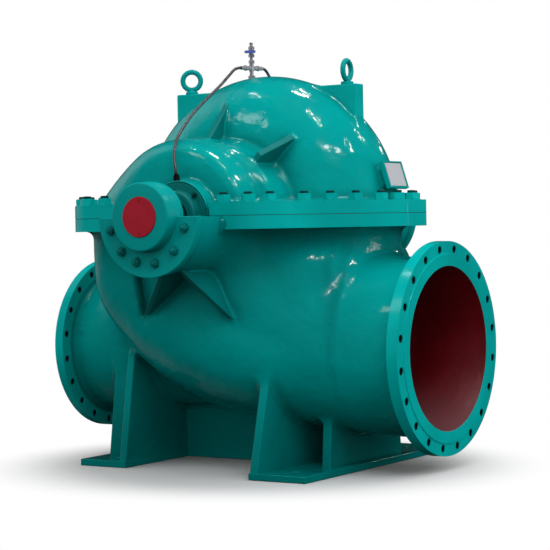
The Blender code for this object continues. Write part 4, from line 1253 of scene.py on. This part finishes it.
# %% The disc and its two screws
DISC_R = 0.0705
DISC_FACE = 0.8398
along = SHAFT_FRAME[-1]
rows = [(0, 0.8323), (DISC_R, 0.8323), (DISC_R, 0.8385), (0.0692, DISC_FACE), (0, DISC_FACE)]
form = add_turned(bmesh.new(), rows, along, 96)
disc = piece("front_disc", mesh_of("front_disc", form), red_enamel)
places = [along @ Matrix.Translation((0.002, rise, DISC_FACE)) @ Matrix.Rotation(0.5 + rise * 9, 4, "Z")
          for rise in (0.058, -0.058)]
bevel(cut(disc, [round_tool(at, 0.0062, -0.0012, 0.004, 24) for at in places]), 0.0004, 1)
HEAD = [(0, -0.0014), (0.0054, -0.0014), (0.0050, -0.0002), (0.0030, 0.0005), (0, 0.0007)]
form = bmesh.new()
for at in places:
    add_turned(form, HEAD, at, 24)
screws = fastener_piece("disc_screws", form, red_enamel)
slot = rectangle(-0.007, 0.007, -0.0007, 0.0007)
cut(screws, [tool_of("slot", add_plate(bmesh.new(), slot, -0.0008, 0.003, at)) for at in places])
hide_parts("front_end_disc")

# %% Stuffing boxes and glands
BOX_R = 0.1285
GLAND_R = 0.1218
BOX_ROWS = [(BOX_BORE, 0.560), (BOX_BORE, 0.5945), (0.1235, 0.5945), (0.1235, 0.6015), (0.1265, 0.6045),
            (BOX_R, 0.6025), (BOX_R, 0.50), (0.100, 0.50)]
quarter = [math.pi / 2 * k / 6 for k in range(7)]
nose = [(0.080 + 0.012 * math.cos(a), 0.6240 + 0.012 * math.sin(a)) for a in quarter]
GLAND_ROWS = [(0.0568, 0.567), (0.0607, 0.567), (0.0607, 0.5955), (GLAND_R, 0.5955), (GLAND_R, 0.6045),
              (0.1208, 0.6055), (0.0945, 0.6060), (0.0920, 0.6085)] + nose
GLAND_ROWS += [(0.0600, 0.6360), (0.0568, 0.6330)]
for hand, word in SIDES:
    along = SHAFT_FRAME[hand]
    form = add_turned(bmesh.new(), BOX_ROWS, along, 128, True)
    box = piece(word + "_stuffing_box", mesh_of(word + "_box", form), machined_enamel)
    bevel(cut(box, [level_tool(0.60, SHAFT_Z + 0.002)]), 0.0006, 1)
    form = add_turned(bmesh.new(), GLAND_ROWS, along, 128, True)
    # The gland plate takes the darker enamel, painted shade.
    gland = piece(word + "_gland_plate", mesh_of(word + "_gland", form), shaded_enamel)
    bevel(gland, 0.0006, 1)
    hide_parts(word + "_gland")
form = bmesh.new()
for hand, word in SIDES:
    for degrees in (45, 135, 225, 315):
        bolt(form, round_the_shaft(hand, 0.1065, 0.6058, degrees, 1), 0.017, 0.008, 0.0052)
# The gland bolts take the near-black teal, painted shadow.
fastener_piece("gland_bolts", form, stud_shadow_enamel)

# %% [markdown]
# ## Bare metals
# The shaft is turned steel with fine rings left by the tool. The fittings are bright steel with a
# faint cast grain. Metals show little colour of their own, so most of the work is in the roughness.

# %% Steels
turned_steel = Finish("turned_steel", (0.46, 0.46, 0.47), 0.28, 1.0)
rings_of = turned_steel.stretch(turned_steel.place(), (2.0, 900.0, 2.0))
grain = turned_steel.noise(1.0, 2.0, 0.5, rings_of)
turned_steel.feed("Roughness", 0.20 + 0.22 * grain)
worn = turned_steel.mix(turned_steel.noise(11.0, 3.0), (0.36, 0.36, 0.37, 1), (0.52, 0.52, 0.53, 1))
turned_steel.feed("Base Color", worn)
turned_steel.feed("Normal", turned_steel.bump(grain, 0.12, 0.0004))
bright_steel = Finish("bright_fitting_steel", (0.52, 0.52, 0.53), 0.30, 0.55)
spots = bright_steel.noise(140.0, 3.0, 0.6)
bright_steel.feed("Roughness", 0.16 + 0.24 * spots)
bright_steel.feed("Base Color", bright_steel.mix(spots, (0.34, 0.33, 0.36, 1), (0.60, 0.59, 0.63, 1)))
bright_steel.feed("Normal", bright_steel.bump(bright_steel.noise(420.0, 2.0), 0.18, 0.0005))
dark_steel = Finish("blackened_steel", (0.035, 0.035, 0.037), 0.42, 0.9)
dark_steel.feed("Roughness", 0.30 + 0.3 * dark_steel.noise(160.0, 3.0))
dark_steel.feed("Normal", dark_steel.bump(dark_steel.noise(300.0, 2.0), 0.2, 0.0005))
print("steels ready")

# %% Joint sheet, bare plate and blue handle
sheet = Finish("joint_sheet", (0.006, 0.030, 0.028), 0.75)
stained = sheet.mix(sheet.noise(60.0, 3.0), (0.004, 0.020, 0.019, 1), (0.010, 0.040, 0.037, 1))
sheet.feed("Base Color", stained)
sheet.feed("Roughness", 0.65 + 0.2 * sheet.noise(90.0, 2.0))
bare_plate = Finish("bare_brushed_plate", (0.62, 0.60, 0.62), 0.42, 0.15)
brushed = bare_plate.noise(1.0, 3.0, 0.6, bare_plate.stretch(bare_plate.place(), (40.0, 18.0, 900.0)))
bare_plate.feed("Roughness", 0.34 + 0.22 * brushed)
bare_plate.feed("Base Color", bare_plate.mix(brushed, (0.50, 0.51, 0.53, 1), (0.66, 0.65, 0.68, 1)))
bare_plate.feed("Normal", bare_plate.bump(brushed, 0.10, 0.0003))
blue_coat = Finish("blue_dipped_handle", (0.035, 0.070, 0.340), 0.38, 0.0,
                   Coat_Weight=0.25, Coat_Roughness=0.15)
dipped = blue_coat.mix(blue_coat.noise(90.0, 2.0), (0.060, 0.095, 0.380, 1), (0.110, 0.160, 0.540, 1))
blue_coat.feed("Base Color", dipped)
blue_coat.feed("Normal", blue_coat.bump(blue_coat.noise(260.0, 2.0), 0.25, 0.0006))
print("sheet, plate and handle ready")

# %% [markdown]
# ## Carried-over solids
# The shaft, its sleeves, the fittings and the plate already have their final shape as solids. They
# could be modelled again, but that would only risk a second size. They get a real finish instead.

# %% Finishes of the solids that stay
KEPT = {
    "shaft": turned_steel, "shaft_key": turned_steel, "front_shaft_sleeve": turned_steel,
    # The inner covers take the darker enamel, painted shade.
    "rear_shaft_sleeve": turned_steel, "front_inner_cover": shaded_enamel,
    "rear_inner_cover": shaded_enamel, "rear_end_cover": machined_enamel,
    "left_parting_gasket": sheet, "right_parting_gasket": sheet, "nameplate": bare_plate,
    "vent_bushing": bright_steel, "vent_cross": bright_steel, "vent_riser": bright_steel,
    "vent_valve_body": bright_steel, "vent_outlet": bright_steel, "vent_valve_handle": blue_coat,
    "front_hose_top_fitting": bright_steel, "rear_hose_top_fitting": bright_steel,
    "front_hose_lower_fitting": dark_steel, "rear_hose_lower_fitting": dark_steel,
}
for name, finish in KEPT.items():
    solid = frame["nodes"][name]
    for spot in solid.material_slots:
        spot.material = finish.material
    if not solid.material_slots:
        solid.data.materials.append(finish.material)
print("kept solids", len(KEPT))

# %% [markdown]
# ## Eyebolts
# A forged eyebolt is a ring that swells into a tapered neck and stands on a collar. Blender has a
# torus of its own, but a ring built in its frame needs no turning afterwards. The neck is turned.

# %% Two eyebolts
EYE_X = 0.353
EYE_CENTRE_Z = 1.476


def add_ring(form, frame, radius, wire, around=64, across=20):
    """A ring of round wire that stands upright in its frame."""
    rings = []
    for i in range(around):
        turn_at = 2 * math.pi * i / around
        row = []
        for k in range(across):
            roll_at = 2 * math.pi * k / across
            out = radius + wire * math.cos(roll_at)
            spot = Vector((out * math.cos(turn_at), wire * math.sin(roll_at), out * math.sin(turn_at)))
            row.append(form.verts.new(frame @ spot))
        rings.append(row)
    for i in range(around):
        near, far = rings[i], rings[(i + 1) % around]
        for k in range(across):
            j = (k + 1) % across
            form.faces.new((near[k], far[k], far[j], near[j]))
    return form


for hand, word, degrees in ((-1, "left", 30), (1, "right", 95)):
    form = bmesh.new()
    at = Matrix.Translation((hand * EYE_X, 0, EYE_CENTRE_Z)) @ Matrix.Rotation(math.radians(degrees), 4, "Z")
    add_ring(form, at, 0.035, 0.010)
    stand = Matrix.Translation((hand * EYE_X, 0, LUG_TOP))
    rows = [(0, 0.0003), (0.0235, 0.0003), (0.024, 0.0012), (0.024, 0.008), (0.0225, 0.010), (0.0165, 0.0115),
            (0.0128, 0.014), (0.0112, 0.018), (0.0108, 0.0225), (0, 0.0245)]
    add_turned(form, rows, stand, 40)
    mesh = mesh_of(word + "_eyebolt", form)
    mesh.shade_smooth()
    mesh.set_sharp_from_angle(angle=math.radians(40))
    eye = piece(word + "_forged_eyebolt", mesh, machined_enamel)
    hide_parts(word + "_eyebolt")
print("eyebolts done")

# %% [markdown]
# ## Room and light
# The pump stands on a plain pale floor in a white studio. The floor could end at a horizon, but the studio's
# paper has none, so a Mix Shader fades it into white about a metre away. Inside that metre the floor catches
# the real shadows of the lights, and its own darker colour, on a ring set a little towards the front, adds a
# painted soft shadow round the pump. It is hidden from the enamel's reflections and scattered light, where
# the room's own lower half stands in for it.

# %% Floor
form = add_plate(bmesh.new(), rectangle(-60, 60, -60, 60), -0.012, -0.0005)
floor = bpy.data.objects.new("studio_floor", mesh_of("studio_floor", form))
bpy.context.scene.collection.objects.link(floor)
floor_finish = Finish("pale_floor", (0.61, 0.60, 0.59), 0.9, 0.0, Specular_IOR_Level=0.0)
# Painted shadow: the floor keeps its own darker colour on a ring round the pump, set towards the front, and
# turns white outside it.
shadow_ring_place = {"Vector": floor_finish.place(), "Location": (0.0, 0.12, 0), "Scale": (0.90, 1.0, 1.0)}
spot = floor_finish.node("ShaderNodeMapping", None, shadow_ring_place)
distance = floor_finish.node("ShaderNodeVectorMath", {"operation": "LENGTH"}, {0: spot}, 1)
far = floor_finish.step(distance + 0.04 * floor_finish.noise(0.9, 2.0), 0.58, 1.05)
glow = floor_finish.node("ShaderNodeEmission", None, {"Color": (1, 1, 1, 1), "Strength": 1.0})
own = Wire(floor_finish, floor_finish.shader.outputs[0])
both_floors = floor_finish.node("ShaderNodeMixShader", None, {0: far, 1: own, 2: glow})
floor_finish.tree.links.new(both_floors.socket, floor_finish.tree.nodes["Material Output"].inputs[0])
floor.data.materials.append(floor_finish.material)
floor.visible_diffuse = False
floor.visible_glossy = False
print("floor fades out at 1.05 m")

# %% [markdown]
# ## Three soft lights
# Large lights above and on the right give the castings their soft shading. Seen in the enamel they
# would be big white squares, so they are hidden from reflections.

# %% Lights
def soft_light(name, at, aim, size, power):
    data = bpy.data.lights.new(name, "AREA")
    data.shape = "RECTANGLE"
    data.size, data.size_y = size
    data.energy = power
    lamp = bpy.data.objects.new(name, data)
    lamp.location = at
    lamp.rotation_mode = "QUATERNION"
    lamp.rotation_quaternion = (Vector(aim) - Vector(at)).to_track_quat("-Z", "Y")
    bpy.context.scene.collection.objects.link(lamp)
    return lamp


COOL_WHITE = (0.90, 1.0, 1.08)
BIG_LIGHTS = (
    ("key_above_right", (3.2, -3.2, 5.0), (0.2, 0.0, 0.9), (2.4, 2.4), 75),
    ("top_soft", (0.4, -0.6, 5.6), (0.0, 0.0, 0.9), (3.0, 3.0), 60),
    ("side_right", (5.6, 0.6, 2.4), (0.6, 0.0, 0.6), (2.0, 2.4), 40),
)
for name, at, aim, size, power in BIG_LIGHTS:
    light = soft_light(name, at, aim, size, power)
    light.data.color = COOL_WHITE
    light.visible_glossy = False
print(len(BIG_LIGHTS), "big lights")

# %% [markdown]
# Small lamps under the workshop's roof show as short streaks on the glossy enamel. They are kept
# out of the diffuse light, so that they add highlights and leave the soft shading alone.

# %% Roof lamps
ROOF_LAMPS = (
    ("lamp_over_crown", (-0.41, 2.03, 6.42), (0.70, 0.28), 42),
    ("lamp_front_row", (1.27, -0.75, 6.70), (0.75, 0.14), 36),
    ("lamp_front_row_end", (1.90, -1.00, 6.40), (0.30, 0.14), 14),
    ("lamp_right_far", (2.88, 3.06, 5.04), (0.30, 0.55), 28),
    ("lamp_right_near", (4.18, 0.50, 5.17), (0.35, 0.40), 24),
    ("lamp_arm_row", (3.20, -2.50, 4.80), (2.60, 0.12), 60),
    ("lamp_over_chamber", (-2.15, -0.35, 6.20), (0.38, 0.12), 9),
    ("lamp_behind", (0.64, 5.10, 2.90), (0.35, 0.30), 8),
    ("window_front_left", (-2.36, -3.79, 4.72), (1.00, 1.30), 22),
    ("tall_window_right", (5.30, 2.90, 1.40), (0.35, 3.00), 26),
)
for name, place, size, power in ROOF_LAMPS:
    lamp = soft_light(name, place, (0.1, -0.1, 1.0), size, power)
    lamp.visible_diffuse = False
print(len(ROOF_LAMPS), "roof lamps")

# %% [markdown]
# ## The room itself
# An even white world would turn the enamel grey with its reflection. So the world is written three
# times: a soft one, darker below, that scatters on all surfaces; one for reflections that is white
# only to the left and beyond the pump; and plain white where the camera looks past the pump.

# %% The room
world = bpy.data.worlds.new("studio")
world.use_nodes = True
bpy.context.scene.world = world
room = world.node_tree


def room_node(kind, settings=(), **values):
    """A node of the room's tree: settings first, then numbers or links for its sockets."""
    made = room.nodes.new(kind)
    for key, value in dict(settings).items():
        setattr(made, key, value)
    for key, value in values.items():
        key = int(key[1:]) if key[0] == "i" and key[1:].isdigit() else key.replace("_", " ")
        if isinstance(value, bpy.types.NodeSocket):
            room.links.new(value, made.inputs[key])
        else:
            made.inputs[key].default_value = value
    return made


way = room_node("ShaderNodeTexCoord")
split_way = room_node("ShaderNodeSeparateXYZ", i0=way.outputs["Generated"])
level = split_way.outputs[2]
ray = room_node("ShaderNodeLightPath")


def fade(value, low, high, dark=0.0, light=1.0):
    """A ramp from dark to light while a value of the room runs from low to high."""
    ends = {"From_Min": low, "From_Max": high, "To_Min": dark, "To_Max": light}
    return room_node("ShaderNodeMapRange", Value=value, **ends).outputs[0]


def facing(direction):
    """How far a ray from the pump points in a direction, from -1 to 1."""
    settings = {"operation": "DOT_PRODUCT"}
    made = room_node("ShaderNodeVectorMath", settings, i0=way.outputs["Generated"], i1=direction)
    return made.outputs["Value"]


def sums(operation, first, second):
    return room_node("ShaderNodeMath", {"operation": operation}, i0=first, i1=second).outputs[0]


soft = fade(level, -0.30, 0.10, 0.04, 0.92)
leftward = fade(facing((-0.842, -0.540, 0.0)), 0.30, 0.70, 0.012, 0.8)
beyond = fade(facing((-0.540, 0.842, 0.0)), 0.05, 0.45)
above = fade(level, -0.15, 0.20, 0.25, 1.0)
shine = sums("MULTIPLY", sums("MULTIPLY", leftward, above), beyond)
either = room_node("ShaderNodeMix", Factor=ray.outputs["Is Diffuse Ray"], A=shine, B=soft).outputs[0]
shown = sums("MAXIMUM", either, ray.outputs["Is Camera Ray"])
backdrop = room.nodes["Background"]
room.links.new(shown, backdrop.inputs["Strength"])
backdrop.inputs["Color"].default_value = (1, 1, 1, 1)
bpy.context.scene.view_settings.view_transform = "Standard"
print("studio ready")
